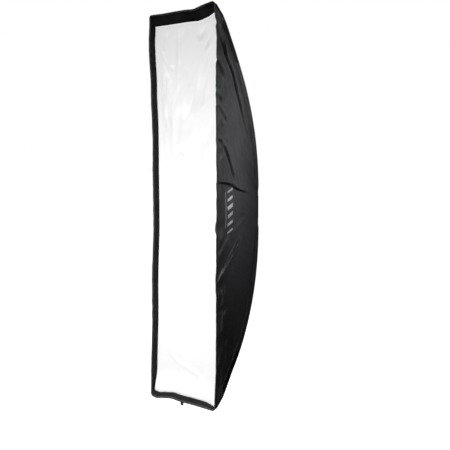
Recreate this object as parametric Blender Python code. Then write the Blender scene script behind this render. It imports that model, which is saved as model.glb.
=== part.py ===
"""Strip softbox with a turning three-lug bayonet ring, modelled in metres with +Z up.

The origin is on the ring's axis, in the plane where a flash head's face meets the bayonet.
+Y points to the flash head, -Y to the front of the box, and +Z along its long side.
"""

import math

import bmesh
import bpy
from mathutils import Vector

# Overall size
HALF_WIDTH = 0.175
HALF_HEIGHT = 0.800
DEPTH = 0.440
GAP = 0.0004

# Shell: the bowed edges run from the ring's neck to the front seam
FABRIC = 0.0012
APEX_Y = -0.0113
BOW = 0.68
SEAM_Z = 0.752
SEAM_Y = APEX_Y - BOW * SEAM_Z**2
TIP_Z = 0.745
FRONT_BOW = 0.0175
BOW_STEP = 0.08
EDGE_BASE = 0.0512
EDGE_ROUND = 0.029
EDGE_SPREAD = 0.16
EDGE_GAP = 0.0022
SIDE_SAG = 0.02
END_SAG = 0.012
NECK_X = 0.0725
NECK_Z = 0.0765
NECK_Y = -0.003
SHOULDER_Z = 0.095

# Lip, front diffuser and its tapes, all bowed back by FRONT_BOW at mid height
LIP = 0.002
DIFFUSER_Y = -DEPTH + 0.0312
DIFFUSER_X = 0.1715
DIFFUSER_Z = 0.7595
TAPE_WIDTH = 0.025
TAPE = 0.0014
TAPE_X = DIFFUSER_X - 0.0015
TAPE_Z = DIFFUSER_Z - 0.0045

# Inner baffle and straps
BAFFLE_Y = -0.220
BAFFLE_X = 0.105
BAFFLE_Z = 0.470
STRAP_WIDTH = 0.025
STRAP_Z = (-0.450, 0.0, 0.450)
STRAP_SIDE_GAP = 0.0024

# Rods
ROD_R = 0.0025
ROD_FIT = 0.0003
ROD_APEX_Y = -0.0186
ROD_BOW = 0.69
ROD_X = 0.058
ROD_X_Z = 0.050
ROD_SPREAD = 0.150
ROD_START = 0.016
ROD_END = 0.730
ROD_POINTS = 28
CAP_R = 0.0040
CAP_LENGTH = 0.013
CAP_BORE = 0.010
POCKET_R = 0.0066
POCKET_BORE_R = 0.0044
POCKET_LENGTH = 0.026
POCKET_BORE = 0.024

# Ring and bayonet, radii about the Y axis
BORE_R = 0.047
RING_BORE_R = 0.048
NECK_R = 0.050
LUG_R = 0.057
DRUM_R = 0.0565
FLANGE_R = 0.060
RING_R = 0.070
RING_FRONT = -0.0130
RING_REAR = -0.0065
RECESS_FRONT = -0.0110
FLANGE_FRONT = RECESS_FRONT + GAP
FLANGE_REAR = -0.0070
RETAINER_FRONT = RING_REAR + GAP
RETAINER_REAR = -0.0040
BAYONET_END = 0.012
LUG_FRONT = 0.0060
LUG_REAR = 0.0088
LUG_HALF_ANGLE = math.radians(20)
STEPS = 64

SCREW_CIRCLE = 0.0655
SCREW_TURN = math.radians(20)
SCREW_R = 0.0015
SCREW_HEAD_R = 0.0028
SCREW_HEAD = 0.0019
SCREW_HEAD_GAP = 0.0003
SCREW_LENGTH = 0.0075

SOCKET_WIDTH = 0.013
SOCKET_LENGTH = 0.028
SOCKET_DEPTH = 0.014
SOCKET_BACK = 0.004
SOCKET_BEVEL = 0.0008

# Lock screw, on the diagonal between two flaps
LOCK_DIRECTION = Vector((-1, 0, -1)).normalized()
LOCK_Y = -0.0092
LOCK_R = 0.0020
PAD_R = 0.0016
PAD_LENGTH = 0.0022
PAD_GAP = 0.0003
KNOB_R = 0.0085
KNOB_FOOT_R = 0.0055
KNOB_START = RING_R + 0.004
KNOB_TAPER = 0.0025
KNOB_LENGTH = 0.0115
KNOB_CHAMFER = 0.0015
KNOB_LOBES = {"lobes": 8, "lobe_from": KNOB_R - 0.002, "lobe_depth": 0.06}

# Rear flaps
FLAP_Y = -0.0015
FLAP_INNER_R = 0.0605
FLAP_HALF_ANGLE = math.radians(35)
FLAP_X = NECK_X - 0.0005
FLAP_Z = NECK_Z - 0.0005
FLAP_SIDE_HALF = 0.050
FLAP_END_HALF = 0.054

# Pull tab
TAB_HALF_WIDTH = 0.009
TAB_LENGTH = 0.015
TAB = 0.003
TAB_SETBACK = 0.001

INSIDE = Vector((0, -0.30, 0))


def make_material(name, colour, roughness, metallic=0.0):
    made = bpy.data.materials.new(name)
    made.use_nodes = True
    shader = made.node_tree.nodes["Principled BSDF"]
    shader.inputs["Base Color"].default_value = (*colour, 1)
    shader.inputs["Roughness"].default_value = roughness
    shader.inputs["Metallic"].default_value = metallic
    return made


def add_object(name, mesh, material, parent):
    made = bpy.data.objects.new(name, mesh)
    made.data.materials.append(material)
    made.parent = parent
    bpy.context.scene.collection.objects.link(made)
    return made


def add_empty(name, parent=None, location=(0, 0, 0)):
    made = bpy.data.objects.new(name, None)
    made.location = location
    made.parent = parent
    bpy.context.scene.collection.objects.link(made)
    return made


def mesh_from(name, bm):
    bmesh.ops.recalc_face_normals(bm, faces=bm.faces)
    mesh = bpy.data.meshes.new(name)
    bm.to_mesh(mesh)
    bm.free()
    return mesh


def smooth_round(mesh):
    mesh.shade_smooth()
    mesh.set_sharp_from_angle(angle=math.radians(35))


def put_on_axis(obj, origin, direction):
    """Places a piece turned about its own Z so that its Z runs along direction."""
    obj.rotation_mode = "QUATERNION"
    obj.location = origin
    obj.rotation_quaternion = direction.to_track_quat("Z", "Y")


def combine(obj, other, operation):
    other.hide_render = True
    other.display_type = "WIRE"
    modifier = obj.modifiers.new(other.name, "BOOLEAN")
    modifier.operation = operation
    modifier.solver = "EXACT"
    modifier.object = other


def turned_mesh(name, profile, closed, steps=STEPS, lobes=0, lobe_from=1.0, lobe_depth=0.0):
    """Turns (radius, height) points about Z. A closed profile makes a ring; an open one starts and
    ends on the axis. Radii beyond lobe_from swell and shrink with the angle."""
    bm = bmesh.new()
    columns = []
    for radius, height in profile:
        if radius == 0:
            columns.append([bm.verts.new((0, 0, height))] * steps)
            continue
        column = []
        for step in range(steps):
            angle = 2 * math.pi * step / steps
            swell = 1 + lobe_depth * math.cos(lobes * angle) if radius > lobe_from else 1
            reach = radius * swell
            column.append(bm.verts.new((reach * math.cos(angle), reach * math.sin(angle), height)))
        columns.append(column)
    pairs = list(zip(columns, columns[1:]))
    if closed:
        pairs.append((columns[-1], columns[0]))
    for first, second in pairs:
        for step in range(steps):
            after = (step + 1) % steps
            corners = [first[step], first[after], second[after], second[step]]
            bm.faces.new(list(dict.fromkeys(corners)))
    mesh = mesh_from(name, bm)
    smooth_round(mesh)
    return mesh


def turned(name, profile, closed, material, parent, origin=(0, 0, 0), direction=(0, 1, 0), **shape):
    made = add_object(name, turned_mesh(name, profile, closed, **shape), material, parent)
    put_on_axis(made, origin, Vector(direction))
    return made


def cup_profile(outer, inner, length, depth):
    """A blind tube: closed at 0, with a bore of the given depth that opens at length."""
    floor = length - depth
    return [(0, 0), (outer, 0), (outer, length), (inner, length), (inner, floor), (0, floor)]


def prism(name, outline, thickness, material, parent):
    """Extrudes a flat outline of points by the vector thickness."""
    bm = bmesh.new()
    face = bm.faces.new([bm.verts.new(point) for point in outline])
    moved = bmesh.ops.extrude_face_region(bm, geom=[face])
    verts = [item for item in moved["geom"] if isinstance(item, bmesh.types.BMVert)]
    bmesh.ops.translate(bm, vec=thickness, verts=verts)
    return add_object(name, mesh_from(name, bm), material, parent)


def bowed(name, x_range, front, back, material, parent):
    """A strip from x_range[0] to x_range[1] that follows the bowed front. front and back are each
    (y at the corners, lowest z, highest z)."""
    outline = []
    for y, low, high in (front, (back[0], back[2], back[1])):
        steps = max(math.ceil(abs(high - low) / BOW_STEP), 1) + 1
        for z in spread(low, high, steps):
            outline.append((x_range[0], y + front_bow(z), z))
    return prism(name, outline, Vector((x_range[1] - x_range[0], 0, 0)), material, parent)


def plate(name, low, high, material, parent):
    """A flat upright plate between two corners."""
    front = low[1]
    corners = ((low[0], low[2]), (high[0], low[2]), (high[0], high[2]), (low[0], high[2]))
    outline = [(x, front, z) for x, z in corners]
    return prism(name, outline, Vector((0, high[1] - low[1], 0)), material, parent)


def sheet(name, rows, thickness, material, parent):
    """A cloth panel through a grid of points, thickened towards the inside of the box."""
    bm = bmesh.new()
    grid = [[bm.verts.new(point) for point in row] for row in rows]
    for row, following in zip(grid, grid[1:]):
        for i in range(len(row) - 1):
            bm.faces.new([row[i], row[i + 1], following[i + 1], following[i]])
    bm.normal_update()
    outward = sum(face.normal.dot(face.calc_center_median() - INSIDE) for face in bm.faces)
    if outward < 0:
        bmesh.ops.reverse_faces(bm, faces=bm.faces)
    mesh = bpy.data.meshes.new(name)
    bm.to_mesh(mesh)
    bm.free()
    mesh.shade_smooth()
    made = add_object(name, mesh, material, parent)
    solid = made.modifiers.new("thickness", "SOLIDIFY")
    solid.thickness = thickness
    solid.offset = -1
    return made


def spread(first, last, count):
    return [first + (last - first) * i / (count - 1) for i in range(count)]


# ---- the shape of the shell ----


def front_bow(z):
    """How far the front's edge stands back at height z."""
    return FRONT_BOW * max(1 - (z / HALF_HEIGHT) ** 2, 0)


def rear_edge(z):
    """(x, y) of the right panel's rear edge: the bowed edge, drawn in to the neck round the ring."""
    height = abs(z)
    share = min(max((height - NECK_Z) / (SHOULDER_Z - NECK_Z), 0), 1)
    share = share * share * (3 - 2 * share)
    bowed = (EDGE_BASE + math.hypot(EDGE_ROUND, EDGE_SPREAD * height), APEX_Y - BOW * height**2)
    return tuple(near + (far - near) * share for near, far in zip((NECK_X, NECK_Y), bowed))


def side_x(y, z):
    """Half width of the shell's outside at depth y and height z."""
    edge_x, edge_y = rear_edge(z)
    seam_y = SEAM_Y + front_bow(z)
    length = max(edge_y - seam_y, GAP)
    share = min(max((y - seam_y) / length, 0), 1)
    return HALF_WIDTH + (edge_x - HALF_WIDTH) * share - SIDE_SAG * length * math.sin(math.pi * share)


def side_panel(name, side, material, parent):
    upper = spread(SHOULDER_Z, TIP_Z, 12)
    middle = [-0.086, -NECK_Z, 0, NECK_Z, 0.086]
    rows = []
    for z in [-height for height in reversed(upper)] + middle + upper:
        depths = spread(SEAM_Y + front_bow(z) + GAP, rear_edge(z)[1], 7)
        rows.append([(side * side_x(y, z), y, z) for y in depths])
    return sheet(name, rows, FABRIC, material, parent)


def end_panel(name, side, material, parent):
    """Top or bottom panel: follows the bow from the front seam and turns back along the neck."""
    profile = [(APEX_Y - BOW * z**2, z) for z in spread(SEAM_Z - 2 * FABRIC, SHOULDER_Z, 16)]
    profile += [(-0.0150, 0.0860), (-0.0095, 0.0785), (NECK_Y, NECK_Z)]
    rows = []
    for i, (y, z) in enumerate(profile):
        reach = side_x(y, z) - EDGE_GAP
        sag = END_SAG * math.sin(math.pi * i / (len(profile) - 1))
        row = []
        for share in spread(-1, 1, 7):
            drop = sag * (1 - share**2)
            row.append((reach * share, y - 0.7 * drop, side * (z - 0.7 * drop)))
        rows.append(row)
    return sheet(name, rows, FABRIC, material, parent)


# ---- pieces ----


def make_bayonet(materials, parent):
    body = [
        (BORE_R, BAYONET_END),
        (NECK_R, BAYONET_END),
        (NECK_R, 0),
        (DRUM_R, 0),
        (DRUM_R, FLANGE_REAR),
        (FLANGE_R, FLANGE_REAR),
        (FLANGE_R, FLANGE_FRONT),
        (BORE_R, FLANGE_FRONT),
    ]
    insert = turned("bayonet_insert", body, True, materials["ring_steel"], parent)
    for number in range(3):
        middle = math.radians(90 + 120 * number)
        outline = []
        for radius, direction in ((NECK_R - 0.001, 1), (LUG_R, -1)):
            for turn in spread(-LUG_HALF_ANGLE * direction, LUG_HALF_ANGLE * direction, 7):
                angle = middle + turn
                outline.append((radius * math.cos(angle), LUG_FRONT, radius * math.sin(angle)))
        thickness = Vector((0, LUG_REAR - LUG_FRONT, 0))
        lug = prism(f"lug_{number + 1}", outline, thickness, materials["ring_steel"], parent)
        combine(insert, lug, "UNION")


def screw_points():
    """Centres of the four ring screws, under the flaps."""
    turns = [SCREW_TURN + math.radians(90 * number) for number in range(4)]
    return [Vector((SCREW_CIRCLE * math.cos(turn), 0, SCREW_CIRCLE * math.sin(turn))) for turn in turns]


def make_ring(materials, parent):
    body = [
        (RING_BORE_R, RECESS_FRONT),
        (FLANGE_R + GAP, RECESS_FRONT),
        (FLANGE_R + GAP, RING_REAR),
        (RING_R, RING_REAR),
        (RING_R, RING_FRONT),
        (RING_BORE_R, RING_FRONT),
    ]
    ring = turned("speedring", body, True, materials["ring_steel"], parent)
    cover = [
        (DRUM_R + GAP, RETAINER_REAR),
        (RING_R, RETAINER_REAR),
        (RING_R, RETAINER_FRONT),
        (DRUM_R + GAP, RETAINER_FRONT),
    ]
    retainer = turned("retaining_ring", cover, True, materials["ring_steel"], parent)
    hole = [(0, -0.02), (SCREW_R + GAP, -0.02), (SCREW_R + GAP, 0.02), (0, 0.02)]
    head_rear = RETAINER_REAR + SCREW_HEAD_GAP + SCREW_HEAD
    screw = [
        (0, head_rear - SCREW_HEAD - SCREW_LENGTH),
        (SCREW_R, head_rear - SCREW_HEAD - SCREW_LENGTH),
        (SCREW_R, head_rear - SCREW_HEAD),
        (SCREW_HEAD_R, head_rear - SCREW_HEAD),
        (SCREW_HEAD_R, head_rear - SCREW_HEAD / 2),
        (SCREW_HEAD_R * 0.8, head_rear),
        (0, head_rear),
    ]
    for number, point in enumerate(screw_points(), 1):
        drill = turned(f"ring_screw_hole_{number}", hole, False, materials["zinc"], parent, point, steps=16)
        combine(ring, drill, "DIFFERENCE")
        combine(retainer, drill, "DIFFERENCE")
        turned(f"ring_screw_{number}", screw, False, materials["zinc"], parent, point, steps=16)
    start, end = FLANGE_R - 0.002, RING_R + 0.010
    bore = [(0, start), (LOCK_R + GAP, start), (LOCK_R + GAP, end), (0, end)]
    axis = ((0, LOCK_Y, 0), LOCK_DIRECTION)
    drill = turned("lock_hole", bore, False, materials["zinc"], parent, *axis, steps=24)
    combine(ring, drill, "DIFFERENCE")


def rod_point(side, end, height):
    x = ROD_X + ROD_SPREAD * (height - ROD_X_Z)
    return Vector((side * x, ROD_APEX_Y - ROD_BOW * height**2, end * height))


def rod_direction(side, end, height):
    return Vector((side * ROD_SPREAD, -2 * ROD_BOW * height, end)).normalized()


def make_rod(name, side, end, materials, parent):
    curve = bpy.data.curves.new(name, "CURVE")
    curve.dimensions = "3D"
    curve.bevel_depth = ROD_R
    curve.bevel_resolution = 2
    curve.use_fill_caps = True
    spline = curve.splines.new("POLY")
    heights = spread(ROD_START, ROD_END, ROD_POINTS)
    spline.points.add(len(heights) - 1)
    for point, height in zip(spline.points, heights):
        point.co = (*rod_point(side, end, height), 1)
    return add_object(name, curve, materials["spring_rod"], parent)


def make_socket(name, side, end, materials, parent):
    """A block on the ring's front face with a blind bore for the rod."""
    middle = ROD_START + SOCKET_LENGTH / 2 - SOCKET_BACK
    lean = Vector((side * ROD_SPREAD, 0, end)).normalized()
    across = Vector((lean.z, 0, -lean.x)) * SOCKET_WIDTH / 2
    along = lean * SOCKET_LENGTH / 2
    centre = rod_point(side, end, middle)
    centre.y = RING_FRONT - GAP
    low, high = centre - along, centre + along
    outline = [low - across, low + across, high + across, high - across]
    block = prism(name, outline, Vector((0, -SOCKET_DEPTH, 0)), materials["ring_steel"], parent)
    edge = block.modifiers.new("edge", "BEVEL")
    edge.width = SOCKET_BEVEL
    edge.segments = 2
    bore_r = ROD_R + 2 * ROD_FIT
    bore = [(0, -0.001), (bore_r, -0.001), (bore_r, SOCKET_LENGTH), (0, SOCKET_LENGTH)]
    start = rod_point(side, end, ROD_START)
    direction = rod_direction(side, end, middle)
    drill = turned(f"{name}_bore", bore, False, materials["zinc"], parent, start, direction, steps=16)
    combine(block, drill, "DIFFERENCE")


def make_rods(materials, parent):
    for end_name, end in (("upper", 1), ("lower", -1)):
        for side_name, side in (("left", -1), ("right", 1)):
            where = f"{end_name}_{side_name}"
            make_rod(f"rod_{where}", side, end, materials, parent)
            make_socket(f"rod_socket_{where}", side, end, materials, parent)
            tip = rod_point(side, end, ROD_END)
            inward = -rod_direction(side, end, ROD_END)
            cap = cup_profile(CAP_R, ROD_R + ROD_FIT, CAP_LENGTH, CAP_BORE)
            cap_end = tip - inward * (CAP_LENGTH - CAP_BORE + GAP)
            black = materials["black_plastic"]
            turned(f"rod_tip_{where}", cap, False, black, parent, cap_end, inward, steps=16)
            pocket = cup_profile(POCKET_R, POCKET_BORE_R, POCKET_LENGTH, POCKET_BORE)
            pocket_end = cap_end - inward * (POCKET_LENGTH - POCKET_BORE + GAP)
            cloth = materials["webbing"]
            turned(f"corner_pocket_{where}", pocket, False, cloth, parent, pocket_end, inward, steps=16)


def make_shell(materials, parent):
    side_panel("side_panel_left", -1, materials["shell"], parent)
    side_panel("side_panel_right", 1, materials["shell"], parent)
    end_panel("top_panel", 1, materials["shell"], parent)
    end_panel("bottom_panel", -1, materials["shell"], parent)


def make_lip(materials, parent):
    front, back = -DEPTH, SEAM_Y - GAP
    for name, side in (("lip_left", -1), ("lip_right", 1)):
        x_range = (side * HALF_WIDTH, side * (HALF_WIDTH - LIP))
        edges = ((front, -HALF_HEIGHT, HALF_HEIGHT), (back, -SEAM_Z, SEAM_Z))
        bowed(name, x_range, *edges, materials["lip"], parent)
    reach = HALF_WIDTH - LIP - GAP
    drop = LIP * math.hypot(back - front, HALF_HEIGHT - SEAM_Z) / (back - front)
    corners = [(back, SEAM_Z), (front, HALF_HEIGHT), (front, HALF_HEIGHT - drop), (back, SEAM_Z - drop)]
    for name, end in (("lip_bottom", -1), ("lip_top", 1)):
        outline = [(-reach, y, end * z) for y, z in corners]
        prism(name, outline, Vector((2 * reach, 0, 0)), materials["lip"], parent)
    straight = TAB_LENGTH - TAB_HALF_WIDTH
    tab = [(TAB_HALF_WIDTH, 0)]
    for turn in spread(0, math.pi, 9):
        tab.append((TAB_HALF_WIDTH * math.cos(turn), -straight - TAB_HALF_WIDTH * math.sin(turn)))
    tab.append((-TAB_HALF_WIDTH, 0))
    top = -HALF_HEIGHT - GAP
    outline = [(x, front + TAB_SETBACK, top + z) for x, z in tab]
    prism("pull_tab", outline, Vector((0, TAB, 0)), materials["webbing"], parent)


def make_tapes(materials, parent):
    front = DIFFUSER_Y + GAP + TAPE + GAP
    back = front + TAPE
    inner_x, inner_z = TAPE_X - TAPE_WIDTH, TAPE_Z - TAPE_WIDTH
    for name, side in (("loop_tape_left", -1), ("loop_tape_right", 1)):
        edges = ((front, -TAPE_Z, TAPE_Z), (back, -TAPE_Z, TAPE_Z))
        bowed(name, (side * inner_x, side * TAPE_X), *edges, materials["tape"], parent)
    for name, end in (("loop_tape_bottom", -1), ("loop_tape_top", 1)):
        low, high = sorted((end * inner_z, end * TAPE_Z))
        x_range = (-inner_x + GAP, inner_x - GAP)
        bowed(name, x_range, (front, low, high), (back, low, high), materials["tape"], parent)


def make_front(materials, parent):
    cloth = (-DIFFUSER_Z, DIFFUSER_Z)
    faces = ((DIFFUSER_Y - FABRIC, *cloth), (DIFFUSER_Y, *cloth))
    bowed("front_diffuser", (-DIFFUSER_X, DIFFUSER_X), *faces, materials["diffuser"], parent)
    low, high = DIFFUSER_Y + GAP, DIFFUSER_Y + GAP + TAPE
    steps = math.ceil(2 * TAPE_Z / BOW_STEP) + 1
    bm = bmesh.new()
    loops = []
    for y, inset in ((low, 0), (high, 0), (high, TAPE_WIDTH), (low, TAPE_WIDTH)):
        x = TAPE_X - inset
        rising = spread(-TAPE_Z + inset, TAPE_Z - inset, steps)
        points = [(x, z) for z in rising] + [(-x, z) for z in reversed(rising)]
        loops.append([bm.verts.new((a, y + front_bow(b), b)) for a, b in points])
    for first, second in zip(loops, loops[1:] + loops[:1]):
        for i in range(len(first)):
            after = (i + 1) % len(first)
            bm.faces.new([first[i], first[after], second[after], second[i]])
    add_object("diffuser_hook_tape", mesh_from("diffuser_hook_tape", bm), materials["tape"], parent)


def make_baffle(materials, parent):
    back = BAFFLE_Y + FABRIC
    low, high = (-BAFFLE_X, BAFFLE_Y, -BAFFLE_Z), (BAFFLE_X, back, BAFFLE_Z)
    plate("inner_baffle", low, high, materials["diffuser"], parent)
    lift = STRAP_WIDTH / 2
    for end_name, z in zip(("lower", "middle", "upper"), STRAP_Z):
        walls = [side_x(y, height) for y in (BAFFLE_Y, back) for height in (z - lift, z + lift)]
        reach = min(walls) - STRAP_SIDE_GAP
        for side_name, side in (("left", -1), ("right", 1)):
            left, right = sorted((side * (BAFFLE_X + GAP), side * reach))
            corners = ((left, BAFFLE_Y, z - lift), (right, back, z + lift))
            plate(f"baffle_strap_{end_name}_{side_name}", *corners, materials["webbing"], parent)


def make_flap(name, turn, outer, half_length, materials, parent):
    """A trapezoid from the hinge line in to the bayonet's drum, drawn about its hinge."""
    hinge = add_empty(f"{name}_hinge", parent)
    direction = Vector((math.cos(turn), 0, math.sin(turn)))
    hinge.location = direction * outer + Vector((0, FLAP_Y + FABRIC / 2, 0))
    along = Vector((-direction.z, 0, direction.x))
    points = [(outer, -half_length), (outer, half_length)]
    for angle in spread(FLAP_HALF_ANGLE, -FLAP_HALF_ANGLE, 9):
        points.append((FLAP_INNER_R * math.cos(angle), FLAP_INNER_R * math.sin(angle)))
    outline = []
    for reach, run in points:
        outline.append(direction * (reach - outer) + along * run - Vector((0, FABRIC / 2, 0)))
    prism(name, outline, Vector((0, FABRIC, 0)), materials["shell"], hinge)


def make_flaps(materials, parent):
    make_flap("rear_flap_right", 0, FLAP_X, FLAP_SIDE_HALF, materials, parent)
    make_flap("rear_flap_top", math.pi / 2, FLAP_Z, FLAP_END_HALF, materials, parent)
    make_flap("rear_flap_left", math.pi, FLAP_X, FLAP_SIDE_HALF, materials, parent)
    make_flap("rear_flap_bottom", -math.pi / 2, FLAP_Z, FLAP_END_HALF, materials, parent)


def make_lock(materials, parent):
    origin = Vector((0, LOCK_Y, 0))
    start = FLANGE_R + GAP
    pad = [(0, start), (PAD_R, start), (PAD_R, start + PAD_LENGTH), (0, start + PAD_LENGTH)]
    turned("lock_pad", pad, False, materials["black_plastic"], parent, origin, LOCK_DIRECTION, steps=16)
    low = start + PAD_LENGTH + PAD_GAP
    knob_end = KNOB_START + KNOB_LENGTH
    screw = [
        (0, low),
        (LOCK_R, low),
        (LOCK_R, KNOB_START),
        (KNOB_FOOT_R, KNOB_START),
        (KNOB_R, KNOB_START + KNOB_TAPER),
        (KNOB_R, knob_end - KNOB_CHAMFER),
        (KNOB_R - KNOB_CHAMFER, knob_end),
        (0, knob_end),
    ]
    black = materials["black_plastic"]
    turned("lock_knob", screw, False, black, parent, origin, LOCK_DIRECTION, steps=48, **KNOB_LOBES)


def main():
    for obj in list(bpy.data.objects):
        bpy.data.objects.remove(obj)
    materials = {
        "shell": make_material("shell", (0.020, 0.020, 0.022), 0.62),
        "lip": make_material("lip", (0.008, 0.008, 0.009), 0.80),
        "diffuser": make_material("diffuser", (0.92, 0.92, 0.91), 0.75),
        "tape": make_material("tape", (0.010, 0.010, 0.010), 0.95),
        "webbing": make_material("webbing", (0.012, 0.012, 0.012), 0.85),
        "ring_steel": make_material("ring_steel", (0.035, 0.035, 0.038), 0.40, 0.6),
        "zinc": make_material("zinc", (0.55, 0.55, 0.56), 0.35, 1.0),
        "spring_rod": make_material("spring_rod", (0.25, 0.25, 0.26), 0.35, 1.0),
        "black_plastic": make_material("black_plastic", (0.015, 0.015, 0.015), 0.50),
    }
    bayonet = add_empty("bayonet")
    softbox = add_empty("softbox", bayonet)
    make_bayonet(materials, bayonet)
    make_ring(materials, softbox)
    make_rods(materials, softbox)
    make_shell(materials, softbox)
    make_lip(materials, softbox)
    make_tapes(materials, softbox)
    make_baffle(materials, softbox)
    make_flaps(materials, softbox)
    make_front(materials, add_empty("diffuser_slide", softbox))
    make_lock(materials, add_empty("lock_slide", softbox))


main()
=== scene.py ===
"""Visual model of the strip softbox: sewn fabric, tapes and metalwork around the CAD frame.

Metres, +Z up. The flash head is towards +Y and the light comes out towards -Y.
"""

import math
from collections import namedtuple

import bpy
import numpy as np
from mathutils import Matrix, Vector, noise


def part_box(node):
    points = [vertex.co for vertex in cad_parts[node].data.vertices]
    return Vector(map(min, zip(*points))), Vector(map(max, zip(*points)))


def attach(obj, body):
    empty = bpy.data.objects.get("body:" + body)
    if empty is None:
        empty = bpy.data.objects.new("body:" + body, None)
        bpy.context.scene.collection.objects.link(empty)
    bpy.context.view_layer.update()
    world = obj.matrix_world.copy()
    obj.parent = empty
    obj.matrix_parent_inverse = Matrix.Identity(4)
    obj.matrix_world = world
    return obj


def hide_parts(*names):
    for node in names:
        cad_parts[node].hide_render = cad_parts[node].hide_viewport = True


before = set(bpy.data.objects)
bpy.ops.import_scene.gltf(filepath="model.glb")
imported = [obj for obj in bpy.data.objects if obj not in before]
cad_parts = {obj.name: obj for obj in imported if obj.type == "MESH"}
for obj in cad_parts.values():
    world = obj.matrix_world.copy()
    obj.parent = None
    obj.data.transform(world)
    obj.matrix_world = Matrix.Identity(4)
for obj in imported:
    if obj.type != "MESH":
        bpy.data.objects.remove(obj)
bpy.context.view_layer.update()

# ---- sizes shared with the CAD source ----

HALF_WIDTH = 0.175
HALF_HEIGHT = 0.800
DEPTH = 0.440
APEX_Y = -0.0113
BOW = 0.68
SEAM_Z = 0.752
SEAM_Y = APEX_Y - BOW * SEAM_Z**2
TIP_Z = 0.7475
FRONT_BOW = 0.0175
EDGE_BASE = 0.0512
EDGE_ROUND = 0.029
EDGE_SPREAD = 0.16
SIDE_SAG = 0.02
END_SAG = 0.012
NECK_X = 0.0725
NECK_Z = 0.0765
NECK_Y = -0.003
SHOULDER_Z = 0.095
DIFFUSER_Y = -DEPTH + 0.0312
DIFFUSER_X = 0.1680
DIFFUSER_Z = 0.7595
TAPE_WIDTH = 0.025
BAFFLE_Y = -0.2194
BAFFLE_X = 0.105
BAFFLE_Z = 0.470
ROD_APEX_Y = -0.0186
ROD_BOW = 0.69
ROD_X = 0.058
ROD_X_Z = 0.050
ROD_SPREAD = 0.150
ROD_END = 0.730

# ---- cloth thicknesses ----

NYLON = 0.0009
LIP_CLOTH = 0.0022
DIFFUSER_CLOTH = 0.0007
PATCH_CLOTH = 0.0008
TAB_CLOTH = 0.0007
TAPE_CLOTH = 0.0011
BAFFLE_CLOTH = 0.0006
STRAP_CLOTH = 0.0011
POCKET_CLOTH = 0.0009
FLAP_CLOTH = 0.0007
PRINT = 0.00022

INSIDE = (0.0, -0.30, 0.0)
FORWARD = np.array((0.0, -1.0, 0.0))
REARWARD = np.array((0.0, 1.0, 0.0))
ENDS = (("lower", -1), ("upper", 1))

Panel = namedtuple("Panel", "piece grid normals area to_edge")


# ---- materials ----


class Nodes:
    """A small builder for one material's node tree."""

    def __init__(self, name):
        self.material = bpy.data.materials.new(name)
        self.material.use_nodes = True
        self.tree = self.material.node_tree

    def feed(self, sockets, values):
        """Give each named socket a plain value, or link it to another node's output."""
        for key, value in values.items():
            socket = sockets[key.replace("_", " ")] if isinstance(key, str) else sockets[key]
            if isinstance(value, bpy.types.NodeSocket):
                self.tree.links.new(value, socket)
            else:
                socket.default_value = value

    def add(self, kind, settings=None, **values):
        made = self.tree.nodes.new(kind)
        for key, value in (settings or {}).items():
            setattr(made, key, value)
        self.feed(made.inputs, values)
        return made

    def set(self, **values):
        self.feed(self.tree.nodes["Principled BSDF"].inputs, values)

    def math(self, operation, *values):
        made = self.add("ShaderNodeMath", {"operation": operation})
        self.feed(made.inputs, dict(enumerate(values)))
        return made.outputs[0]

    def flat(self):
        """Place on the flat cloth, in metres along and across it."""
        return self.add("ShaderNodeUVMap", {"uv_map": "cloth"}).outputs[0]

    def place(self):
        return self.add("ShaderNodeTexCoord").outputs["Object"]

    def noise(self, vector, scale, detail=4.0, rough=0.55, stretch=None):
        if stretch is not None:
            vector = self.add("ShaderNodeMapping", Vector=vector, Scale=stretch).outputs[0]
        made = self.add("ShaderNodeTexNoise", Vector=vector, Scale=scale, Detail=detail, Roughness=rough)
        return made.outputs["Fac"]

    def ramp(self, value, *stops):
        """Stops are (position, colour)."""
        made = self.add("ShaderNodeValToRGB", Fac=value)
        elements = made.color_ramp.elements
        for index, (position, colour) in enumerate((stops[0], stops[-1])):
            elements[index].position = position
            elements[index].color = (*colour, 1)
        for position, colour in stops[1:-1]:
            elements.new(position).color = (*colour, 1)
        return made.outputs[0]

    def scale_range(self, value, low, high):
        return self.add("ShaderNodeMapRange", Value=value, To_Min=low, To_Max=high).outputs[0]

    def bump(self, height, distance, strength=1.0, **normal):
        made = self.add("ShaderNodeBump", Height=height, Distance=distance, Strength=strength, **normal)
        return made.outputs[0]

    def weave(self, coordinates, pitch):
        """Over and under yarns of a plain weave, from 0 to 1."""
        parts = self.add("ShaderNodeSeparateXYZ", Vector=coordinates)
        turned = [self.math("MULTIPLY", way, math.pi / pitch) for way in parts.outputs[:2]]
        waves = [self.math("SINE", angle) for angle in turned]
        return self.math("MULTIPLY_ADD", self.math("MULTIPLY", *waves), 0.5, 0.5)


def shade(values, factor):
    return tuple(value * factor for value in values)


def woven(name, colour, roughness, pitch, depth, crinkle=0.0, spread=0.2, **settings):
    """Woven cloth with yarns, slubs and faint colour streaks along the yarns."""
    nodes = Nodes(name)
    flat, place = nodes.flat(), nodes.place()
    streaks = nodes.noise(flat, 90.0, 3.0, 0.6, (1.0, 0.06, 1.0))
    blotches = nodes.noise(place, 9.0, 5.0, 0.6)
    mixed = nodes.math("MULTIPLY_ADD", streaks, 0.45, nodes.math("MULTIPLY", blotches, 0.55))
    normal = nodes.bump(nodes.weave(flat, pitch), depth)
    if crinkle:
        normal = nodes.bump(nodes.noise(place, 55.0, 5.0, 0.6), crinkle, 0.6, Normal=normal)
    nodes.set(
        Base_Color=nodes.ramp(mixed, (0.30, shade(colour, 1 - spread)), (0.72, shade(colour, 1 + spread))),
        Roughness=nodes.scale_range(blotches, roughness - 0.07, roughness + 0.07),
        Normal=normal,
        **settings,
    )
    return nodes.material


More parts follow.
